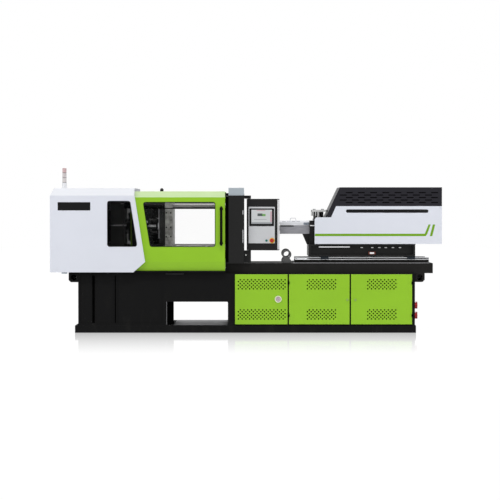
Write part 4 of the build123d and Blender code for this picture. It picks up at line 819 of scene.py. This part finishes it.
class MACHINE_OT_clamp_details(bpy.types.Operator):
    """Add bright bars on the platens that are painted highlights, plugs on the platens, a rod, and
    the ends of the toggle's knee pins.
    """

    bl_idname = "machine.clamp_details"
    bl_label = "Clamp details"

    def execute(self, context):
        # painted highlight: bright bars stand in for the highlights seen through the clamp window
        add_boxes("end_platen_highlight_bars", "end_platen", "polished", (
            ((-2.058, -0.492, 1.600), (-1.820, -0.454, 1.622)),
            ((-1.915, -0.474, 1.936), (-1.866, -0.454, 1.947)),
        ))
        # painted highlight: a light bar on the moving platen's left edge
        add_boxes("moving_platen_edge_highlight", "moving_platen", "tray", (
            ((-1.333, -0.468, 1.410), (-1.324, -0.454, 1.860)),
            ((-1.360, -0.466, 1.714), (-1.324, -0.456, 1.722)),
        ), 0.001)
        add_boxes("safety_rod", "machine", "void", (
            ((-1.560, -0.487, 1.858), (-0.190, -0.474, 1.872)),
            ((-0.240, -0.488, 1.850), (-0.190, -0.454, 1.880)),
        ))
        face = Place((0, -0.455, 0))
        for name, body, points in (
            ("moving_platen", "moving_platen", grid((-1.218, -1.150), (1.44, 1.58, 1.80))),
            ("fixed_platen", "machine", grid((-0.270, -0.140), (1.30, 1.44, 1.80, 1.92))),
        ):
            add_screws(name + "_plugs", body, "black", face, points, 0.012)
        for half, height in (("upper", 1.66), ("lower", 1.52)):
            links = half + "_front_links"
            middle = corners(links)[1][1]
            pins = [
                disc_rings(Place((-1.531, way * middle, height), (-way, 0, 0)), 0.022, 0.006)
                for way in both_sides
            ]
            build_piece(half + "_knee_pin_ends", links, "steel", pins)
        return {"FINISHED"}


class MACHINE_OT_cover_stripes(bpy.types.Operator):
    """Add the green line on the injection covers, its two bars and the black stripe above."""

    bl_idname = "machine.cover_stripes"
    bl_label = "Cover stripes"

    def execute(self, context):
        low = corners("injection_covers")[0]
        thickness = 0.0008
        bottom, bar_top = 1.448, 1.624
        top = bottom + context.scene.machine.sizes.stripe_height
        start, end = low[0] + 0.004, 2.700
        bar_start, bar_end, bar = end + 0.062, end + 0.143, 0.036
        outlines = (
            ((start, bottom), (end, bottom), (end + 0.024, top), (start, top)),
            (
                (end - 0.014, top - 0.001), (end + 0.0235, top - 0.001),
                (end + 0.075, bar_top), (end + 0.043, bar_top),
            ),
            (
                (bar_start, bottom), (bar_start + bar, bottom),
                (bar_end, bar_top), (bar_end - bar, bar_top),
            ),
        )
        profile = raised(0.0024, 0.0030, 0.0008)
        for side, place, turn in front_and_rear("injection_covers"):
            shells = [prism_rings(place, turned(points, turn), thickness) for points in outlines]
            build_piece(side + "_stripes", "carriage", "stripe", shells)
            groove = place.moved(turn * 2.118, 1.826, -0.002)
            plate = plate_rings(groove, 1.243, 0.051, 0.0255, profile, 8)
            build_piece(
                side + "_black_stripe", "carriage", "gloss_black", [plate],
            )
        return {"FINISHED"}


vent_heights = (0.728, 0.276)  # middles of the two bands of holes in the doors and the panel


class MACHINE_OT_vent_mats(bpy.types.Operator):
    """Add black mats behind the perforated doors and the slots of the roof, painted shade for the
    dark inside.
    """

    bl_idname = "machine.vent_mats"
    bl_label = "Vent shade mats"

    def execute(self, context):
        inside = front_of("cabinet_panel") + 0.014
        for body, left, right in (
            ("machine", -0.152, 0.572), ("left_door", 0.884, 1.328), ("right_door", 1.789, 2.233),
        ):
            # painted shade: black mats behind the holes stand in for the shade inside the cabinet
            # and the roof
            add_boxes(body + "_vent_shade_mats", body, "void", [
                ((left, inside, middle - 0.10), (right, inside + 0.006, middle + 0.10))
                for middle in vent_heights
            ], 0.001)
        add_boxes("roof_vent_shade_mats", "carriage", "void", [
            ((1.392, near, 1.925), (2.925, near + 0.003, 2.125)) for near in (-0.5155, 0.5125)
        ], 0.001)
        return {"FINISHED"}


class MACHINE_OT_carriage_details(bpy.types.Operator):
    """Add the strip, the terminals and the oil window of the carriage, and the studs over it."""

    bl_idname = "machine.carriage_details"
    bl_label = "Carriage details"

    def execute(self, context):
        face = -0.420
        add_boxes("carriage_strip", "carriage", "polished", (
            ((1.090, face - 0.002, 1.274), (1.560, face + 0.058, 1.291)),
        ))
        add_boxes("carriage_terminals", "carriage", "stainless", [
            ((x - 0.018, face - 0.001, 1.266), (x + 0.018, face + 0.058, 1.280))
            for x in (1.740, 1.900, 2.007, 2.105, 2.213, 2.320)
        ])
        add_boxes("oil_window_rim", "carriage", "rust_rim", (
            ((1.842, face + 0.002, 1.168), (1.948, face + 0.062, 1.212)),
        ))
        add_boxes("oil_window", "carriage", "polished", (
            ((1.862, face - 0.001, 1.176), (1.928, face + 0.010, 1.204)),
        ))
        for name, x in (("left", 1.121), ("right", 2.430)):
            add_boxes(name + "_block_covers", "carriage", "wiper", [
                ((x + 0.002, y, 1.098), (x + 0.118, y + 0.006, 1.140)) for y in (-0.381, 0.375)
            ])
        plate_top = corners("hopper_plate")[1][2]
        for name, finish, reach, height, profile, around in (
            ("hopper_studs", "dark_casting", 0.100, 1.7252, ((0.011, 0.0), (0.011, 0.0896)), 12),
            (
                "hopper_nuts", "steel", 0.110, plate_top,
                ((0.017, 0.0), (0.017, 0.012), (0.013, 0.015)), 6,
            ),
        ):
            build_piece(name, "carriage", finish, [
                turned_rings(level(x, side * reach, height), profile, around)
                for x in (1.032, 1.160) for side in both_sides
            ])
        add_boxes("heater_band_clamps", "carriage", "steel", [
            ((x, -0.012, 1.652), (x + 0.030, 0.012, 1.664)) for x in (0.355, 0.520, 0.685, 0.850)
        ])
        return {"FINISHED"}


class MACHINE_OT_guard_details(bpy.types.Operator):
    """Add the vents and the box of the heater guard's lid, and the strips along its lower edge: a
    black one that is painted shade in the slot, a grey one, and a polished one on the feed housing
    that is a painted highlight.
    """

    bl_idname = "machine.guard_details"
    bl_label = "Heater guard details"

    def execute(self, context):
        face = front_of("lower_guard")
        slot_low, slot_high = 1.5885, 1.6075
        # painted shade: a black strip stands in for the shade in the slot under the lid
        add_boxes("guard_slot_shade", "carriage", "seal", (
            ((0.512, face + 0.001, slot_low), (0.716, face + 0.003, slot_high)),
        ), 0.0005)
        add_boxes("guard_strip", "carriage", "guard", (
            ((0.717, face, slot_low), (0.948, face + 0.003, slot_high)),
        ), 0.0005)
        bevel = Place((0.0, face + 0.0125, 1.6675), (1, 0, 0), (0, 1, 1))
        profile = raised(0.0008, 0.0010, 0.0004)
        build_piece("guard_vents", "heater_guard", "guard", [
            plate_rings(bevel.moved(x, 0.0), 0.056, 0.010, 0.004, profile, 3)
            for x in (0.566, 0.640, 0.713, 0.786)
        ])
        feed = front_of("feed_housing")
        # painted highlight: a polished strip across the feed housing
        add_boxes("feed_highlight_strip", "carriage", "polished", (
            ((0.962, feed - 0.003, 1.597), (1.060, feed + 0.001, 1.613)),
        ), 0.001)
        add_boxes("guard_box", "heater_guard", "blue_grey", (
            ((0.868, face - 0.010, 1.614), (0.950, face, 1.652)),
        ))
        return {"FINISHED"}


class MACHINE_OT_gauge(bpy.types.Operator):
    """Add the ring, the dial, its marks and the needle of the gauge in the fixed panel."""

    bl_idname = "machine.gauge"
    bl_label = "Gauge"

    def execute(self, context):
        place = Place((0.471, front_of("cabinet_panel"), 0.505))
        inner = 0.0385
        ring = band_rings(place, inner, 0.0515, 0.0015)
        build_piece("gauge_ring", "machine", "cream", [ring], looped=True)
        dial = disc_rings(place.moved(0.0, 0.0, -0.0040), inner, 0.0016, 0.0004)
        build_piece("gauge_dial", "machine", "pink", [dial])
        mark = (0.032, -0.0024, 0.0014, 0.0070, 0.0005, raised(0.0003, 0.0004, 0.0001))
        needle = (0.010, -0.0020, 0.0020, 0.0300, 0.0008, raised(0.0006, 0.0008, 0.0002))
        strokes = [(angle, *mark) for angle in np.radians(np.linspace(-135, 135, 11))]
        shells = []
        for angle, reach, sunk, width, long, radius, profile in (*strokes, (-0.6, *needle)):
            across, up = math.sin(angle), math.cos(angle)
            middle = place.moved(reach * across, reach * up, sunk).origin
            right = up * place.right - across * place.up
            ahead = across * place.right + up * place.up
            stroke = Place(middle, right, ahead)
            shells.append(plate_rings(stroke, width, long, radius, profile, 1))
        build_piece("gauge_marks", "machine", "black", shells)
        return {"FINISHED"}


# Screws of the front and the rear: node that holds them, name, body, finish, slot, radius, points
screw_sets = (
    (
        "front_clamp_cover", "cover", "machine", "white", "white_cover", 0.008,
        grid((-2.915, -2.30, -1.80), (0.935, 2.035)) + grid((-2.915,), (1.30, 1.67)),
    ),
    (
        "injection_covers", "casing", "carriage", "white", "white_cover", 0.008,
        grid((1.30, 1.80, 2.30, 2.915, 1.048), (1.352,))
        + [(1.048, 1.66), (2.915, 1.60), (2.915, 1.878), (1.42, 1.878)],
    ),
    (
        "column_covers", "column", "machine", "column", "column_grey", 0.006,
        grid((-0.262, -0.053), (1.09, 1.40, 1.72, 2.03)),
    ),
)


class MACHINE_OT_screw_heads(bpy.types.Operator):
    """Add the screws of the covers and the rear panels, the columns' edge strips, and hinges and a
    bolt whose pale colour is partly a painted highlight.
    """

    bl_idname = "machine.screw_heads"
    bl_label = "Screws"

    def execute(self, context):
        for node, name, body, finish, slot, radius, points in screw_sets:
            for side, place, turn in front_and_rear(node):
                heads = turned(points, turn)
                add_screws(f"{side}_{name}_screws", body, finish, place, heads, radius)
        left, front = corners("column_covers")[0][:2]
        add_boxes("column_edge_strips", "machine", "void", [
            ((left + 0.0005, face - 0.001, 1.060), (-0.273, face + 0.001, 2.050))
            for face in (front, -front)
        ], 0.0005)
        # partly painted highlight: pale hinges stand in for the glints on the column's edge
        add_boxes("column_hinge_glints", "machine", "pale_guard", [
            ((-0.0610, front - 0.003, low), (-0.0530, front + 0.001, high))
            for low, high in ((1.775, 1.838), (1.350, 1.545))
        ], 0.001)
        # partly painted highlight: a near-white bolt head for the glint on the bracket
        bolt = disc_rings(Place((-0.014, front_of("hmi_brackets"), 1.166)), 0.011, 0.006)
        build_piece("bracket_bolt_glint", "machine", "pale_side", [bolt])
        rear = Place((0, corners("rear_cabinet_panels")[1][1], 0), (-1, 0, 0))
        points = []
        for left, right in ((-0.142, 0.577), (0.668, 1.507), (1.598, 2.445)):
            points += grid((-left - 0.02, -(left + right) / 2, 0.02 - right), (0.185, 0.822))
        add_screws("rear_panel_locks", "machine", "steel", rear, points, 0.012)
        return {"FINISHED"}


def hole_centres(left, columns):
    """Middles of a panel's holes: two bands of six staggered rows."""
    pitch, row_pitch = 0.056, 0.054
    column, row, shift = np.meshgrid(*map(np.arange, (columns, 3, 2)), indexing="ij")
    across = left + pitch * (column + shift / 2)
    up = row_pitch * (row - 1 + (2 * shift - 1) / 4)
    return [(x, middle + z) for middle in vent_heights for x, z in zip(across.flat, up.flat)]


class MACHINE_OT_panel_details(bpy.types.Operator):
    """Add black rims round the panels' holes, painted shade that makes the holes look larger and
    darker, and the black caps of the door hinges.
    """

    bl_idname = "machine.panel_details"
    bl_label = "Panel details"

    def execute(self, context):
        place = Place((0, front_of("cabinet_panel") + 0.010, 0))
        diamond = np.array(((1, 0), (0, 1), (-1, 0), (0, -1)), float)
        edging = frame_rings(place, 0.0097 * diamond, 0.0142 * diamond, 0.0004, 0.0004)
        for body, left, columns in (
            ("machine", -0.126, 13), ("left_door", 0.910, 8), ("right_door", 1.815, 8),
        ):
            # painted shade: a black rim round each hole
            copies = repeat(edging, place, hole_centres(left, columns))
            build_piece(
                body + "_hole_shade_rims", body, "void", [copies], looped=True,
            )
        half_width, half_height = 0.013, 0.0148
        for body, x in (("left_door", 0.630), ("right_door", 2.483)):
            front = front_of(body)
            add_boxes(body + "_hinge_caps", body, "void", [
                (
                    (x - half_width, front - 0.002, middle - half_height),
                    (x + half_width, front + 0.001, middle + half_height),
                )
                for middle in (0.261, 0.750)
            ], 0.001)
        return {"FINISHED"}


class MACHINE_OT_base_details(bpy.types.Operator):
    """Add painted shadows at the base's panel steps, a painted highlight on the passage's edge,
    stiffeners whose dead black is painted shade, the passage's tray, and a painted highlight along
    the bed's edge.
    """

    bl_idname = "machine.base_details"
    bl_label = "Base details"

    def execute(self, context):
        side_y, edge_y = 0.7, 0.612
        # painted shadow: black strips at the steps between the base's panels
        add_boxes("base_step_shadows", "machine", "void", [
            ((left, side * side_y - 0.0006, 0.146), (right, side * side_y + 0.0006, 0.860))
            for left, right in ((-2.319, -2.284), (-1.982, -1.964)) for side in both_sides
        ], 0.0005)
        # painted highlight: a light strip on the edge of the passage's post
        add_boxes("passage_edge_highlight", "machine", "tray", (
            ((-1.206, -0.7007, 0.120), (-1.202, -0.6990, 0.468)),
        ), 0.0005)
        # painted shade: stiffeners in dead black stand in for the shade on the passage's inner
        # walls
        add_boxes("passage_shade_stiffeners", "machine", "void", (
            ((-1.1885, -0.650, 0.116), (-1.0980, -0.638, 0.464)),
            ((-1.1885, 0.638, 0.116), (-1.1520, 0.650, 0.464)),
        ))
        add_boxes("passage_tray", "machine", "tray", (
            ((-1.096, -0.690, 0.1140), (-0.290, 0.690, 0.1170)),
        ), 0.001)
        # painted highlight: a light strip along the bed's top edge
        add_boxes("bed_edge_highlight", "machine", "tray", [
            ((0.700, side * edge_y - 0.008, 1.0415), (2.745, side * edge_y + 0.008, 1.0500))
            for side in both_sides
        ], 0.001)
        return {"FINISHED"}


class MACHINE_OT_drive_details(bpy.types.Operator):
    """Add the cooling fins and the displays of the drive units behind the doors."""

    bl_idname = "machine.drive_details"
    bl_label = "Drive unit details"

    def execute(self, context):
        front = front_of("drive_units")
        fins, displays = [], []
        for middle in (1.0875, 2.0215):
            for shift, width in ((-0.250, 0.150), (-0.030, 0.150), (0.190, 0.210)):
                x, reach = middle + shift, width / 2 - 0.016
                fins += [
                    ((x + step - 0.002, front - 0.016, 0.345), (x + step + 0.002, front, 0.520))
                    for step in np.linspace(-reach, reach, 9)
                ]
                displays.append(
                    ((x - 0.045, front - 0.004, 0.600), (x + 0.045, front, 0.650))
                )
        add_boxes("drive_fins", "machine", "dark_casting", fins, 0.0008)
        add_boxes("drive_displays", "machine", "gloss_black", displays, 0.001)
        return {"FINISHED"}


def panel_plane():
    """The control panel's front face, from its pivot and the way its buttons are pressed."""
    pivot_from_edge, pivot_from_face = 0.025, 0.060
    inwards = np.array(joints["emergency_stop_press"]["axis"], float)
    right = np.cross(inwards, (0, 0, 1))
    corner = joints["panel_swivel"]["pos_m"] - pivot_from_edge * right - pivot_from_face * inwards
    return Place(corner, right)


class MACHINE_OT_panel_front(bpy.types.Operator):
    """Add the control panel's light plates and keys, its stop ring and the screen's fields."""

    bl_idname = "machine.panel_front"
    bl_label = "Control panel front"

    def execute(self, context):
        sizes = context.scene.machine.sizes
        front = panel_plane()
        proud, sheet = 0.003, 0.0008
        face = front.moved(0.2325, 0.379, proud)
        outer = rounded_outline(0.401, 0.546, 0.009)
        hole = rounded_outline(0.377, 0.264, 0.009) + (0.0, 0.117)
        plate = frame_rings(face, hole, outer, sheet)
        build_piece("panel_face_plate", "hmi", "face", [plate], looped=True)
        side = Place(front.at(0.470, 0.386, -0.090), -front.out)
        rings = plate_rings(side, 0.150, 0.744, 0.004, raised(0.0014, 0.0020, 0.0006))
        build_piece("panel_side_plate", "hmi", "pale_side", [rings])
        ring = band_rings(front.moved(0.391, 0.147, proud + sheet), 0.0215, 0.041, 0.002)
        build_piece("stop_ring", "hmi", "yellow", [ring], looped=True)
        lit_place = front.moved(0.234, 0.503, proud + 0.006)
        width, height = sizes.screen_width, sizes.screen_height
        over = 0.0004
        fields = (
            ("display", "grey", 0.0, 0.0, width, height, 0.0),
            ("header", "pink", -0.01, height / 2 - 0.010, 0.130, 0.012, over),
            ("side_strip", "pink", width / 2 - 0.014, 0.0, 0.022, height - 0.05, over),
            ("footer", "bar", 0.0, -height / 2 + 0.012, width - 0.004, 0.018, over),
            ("mould_view", "dark", -0.026, 0.030, 0.076, 0.040, over),
            ("mould_fill", "green", 0.030, 0.026, 0.060, 0.034, over),
            ("values", "bar", -0.02, -0.040, 0.190, 0.006, over),
        )
        profile = raised(0.0005, 0.0008, 0.0005)
        for name, hue, across, up, wide, high, lift in fields:
            rings = plate_rings(lit_place.moved(across, up, lift), wide, high, 0.002, profile, 2)
            build_piece("screen_" + name, "hmi", "screen_" + hue, [rings])
        profile = raised(0.0006, 0.0010, 0.0004)
        first_key = front.moved(0.070, 0.300, proud + sheet)
        build_piece("panel_keys", "hmi", "face", [
            plate_rings(
                first_key.moved(0.042 * column, -0.040 * row), 0.030, 0.024, 0.003, profile, 2,
            )
            for column in range(8) for row in range(3)
        ])
        return {"FINISHED"}


class MACHINE_OT_studio(bpy.types.Operator):
    """Build the floor, the light and the camera."""

    bl_idname = "machine.studio"
    bl_label = "Studio"

    def execute(self, context):
        settings = context.scene.machine.studio
        make_floor()
        make_world(settings.ambient)
        make_lamps(settings)
        make_camera(settings)
        context.scene.view_settings.view_transform = "Standard"
        return {"FINISHED"}


white = (1.0, 1.0, 1.0, 1.0)


def aim(thing, place, target):
    """Puts a lamp or the camera at a place, looking at a target."""
    thing.location = place
    way = Vector(target) - Vector(place)
    thing.rotation_euler = way.to_track_quat("-Z", "Y").to_euler()


def make_floor():
    """A wide white floor that mirrors the machine's foot faintly and keeps a trace of its shadow.

    The mirror's share is most (1 - s / reach)^falloff at a distance s from the plinth's side.
    """
    extent, reach, most, falloff = 60.0, 5.2, 0.5, 1.3
    mesh = bpy.data.meshes.new("floor")
    outline = rectangle(-extent, extent, -extent, extent)
    mesh.from_pydata([(*point, 0) for point in outline], [], [(0, 1, 2, 3)])
    floor = add_object("floor", mesh)
    paint = Finish("floor_paint", (0.80, 0.80, 0.80), 0.9, 0.0)
    seen = paint.seen()
    paint.paint(paint.mix(seen, paint.colour, (0.09, 0.09, 0.09)))
    paint.set(paint.shader, "Emission Color", white)
    paint.set(paint.shader, "Emission Strength", paint.between(seen, 0.0, 0.97, 0.0, 1.0))
    foot = corners("plinth")[1][1]
    away = paint.math("ABSOLUTE", paint.along("Y", paint.place))
    near = paint.math("POWER", paint.between(away, 1.0, 0.0, foot, foot + reach), falloff)
    mirror = paint.add("BsdfGlossy", {"Roughness": 0.06, "Color": white}).outputs[0]
    shaders = {0: paint.math("MULTIPLY", near, most), 1: paint.shader.outputs[0], 2: mirror}
    both = paint.add("MixShader", shaders).outputs[0]
    paint.set(paint.tree.nodes["Material Output"], "Surface", both)
    mesh.materials.append(paint.material)


def make_world(ambient):
    """White where it is seen, mirrored or seen through glass; an even ambient light elsewhere."""
    world = bpy.data.worlds.new("studio_world")
    bpy.context.scene.world = world
    sky = Nodes(world, "Background")
    sky.set(sky.shader, "Color", white)
    sky.set(sky.shader, "Strength", sky.between(sky.seen(), ambient, 1.0, 0.0, 1.0))


def make_lamps(settings):
    """One long lamp above the front, and one at each end."""
    lamps = (
        ("key_lamp", (0.0, -6.6, 10.9), 10.0, 1.2, settings.key_power),
        ("left_lamp", (-9.0, -5.0, 3.5), 5.0, 5.0, settings.fill_power),
        ("right_lamp", (9.0, -5.0, 3.5), 5.0, 5.0, settings.fill_power),
    )
    for name, place, width, height, energy in lamps:
        light = bpy.data.lights.new(name, "AREA")
        light.shape = "RECTANGLE"
        light.size = width
        light.size_y = height
        light.energy = energy
        aim(add_object(name, light), place, (0.0, 0.0, 1.2))


def make_camera(settings):
    """Camera far in front at the operator's eye height, aimed at the picture's middle."""
    middle_x, middle_z, front_y = 0.048, 1.245, machine_box[0][1]
    camera = bpy.data.cameras.new("camera")
    camera.sensor_width = 36.0
    camera.lens = camera.sensor_width * settings.camera_distance / settings.picture_width
    camera.clip_end = 500.0
    holder = add_object("camera", camera)
    place = (middle_x, front_y - settings.camera_distance, settings.camera_height)
    aim(holder, place, (middle_x, front_y, middle_z))
    bpy.context.scene.camera = holder


operators = (
    MACHINE_OT_finishes,
    MACHINE_OT_name_plate,
    MACHINE_OT_window_seals,
    MACHINE_OT_gate_details,
    MACHINE_OT_clamp_details,
    MACHINE_OT_cover_stripes,
    MACHINE_OT_vent_mats,
    MACHINE_OT_carriage_details,
    MACHINE_OT_guard_details,
    MACHINE_OT_gauge,
    MACHINE_OT_screw_heads,
    MACHINE_OT_panel_details,
    MACHINE_OT_base_details,
    MACHINE_OT_drive_details,
    MACHINE_OT_panel_front,
    MACHINE_OT_studio,
)


class MACHINE_PT_panel(bpy.types.Panel):
    """Lists the machine's operators and settings."""

    bl_label = "Injection moulding machine"
    bl_space_type = "VIEW_3D"
    bl_region_type = "UI"
    bl_category = "Machine"

    def draw(self, context):
        settings = context.scene.machine
        for group in (settings.colours, settings.sizes, settings.studio):
            for name in group.bl_rna.properties.keys():
                if name not in ("rna_type", "name"):
                    self.layout.prop(group, name)
        for operator in operators:
            self.layout.operator(operator.bl_idname)


classes = (
    MachineColours, MachineSizes, StudioSettings, MachineProperties, *operators, MACHINE_PT_panel,
)


def register():
    for entry in classes:
        bpy.utils.register_class(entry)
    bpy.types.Scene.machine = PointerProperty(type=MachineProperties)


def unregister():
    del bpy.types.Scene.machine
    for entry in reversed(classes):
        bpy.utils.unregister_class(entry)


def main():
    register()
    for operator in operators:
        group, name = operator.bl_idname.split(".")
        getattr(getattr(bpy.ops, group), name)()


if __name__ == "__main__":
    main()
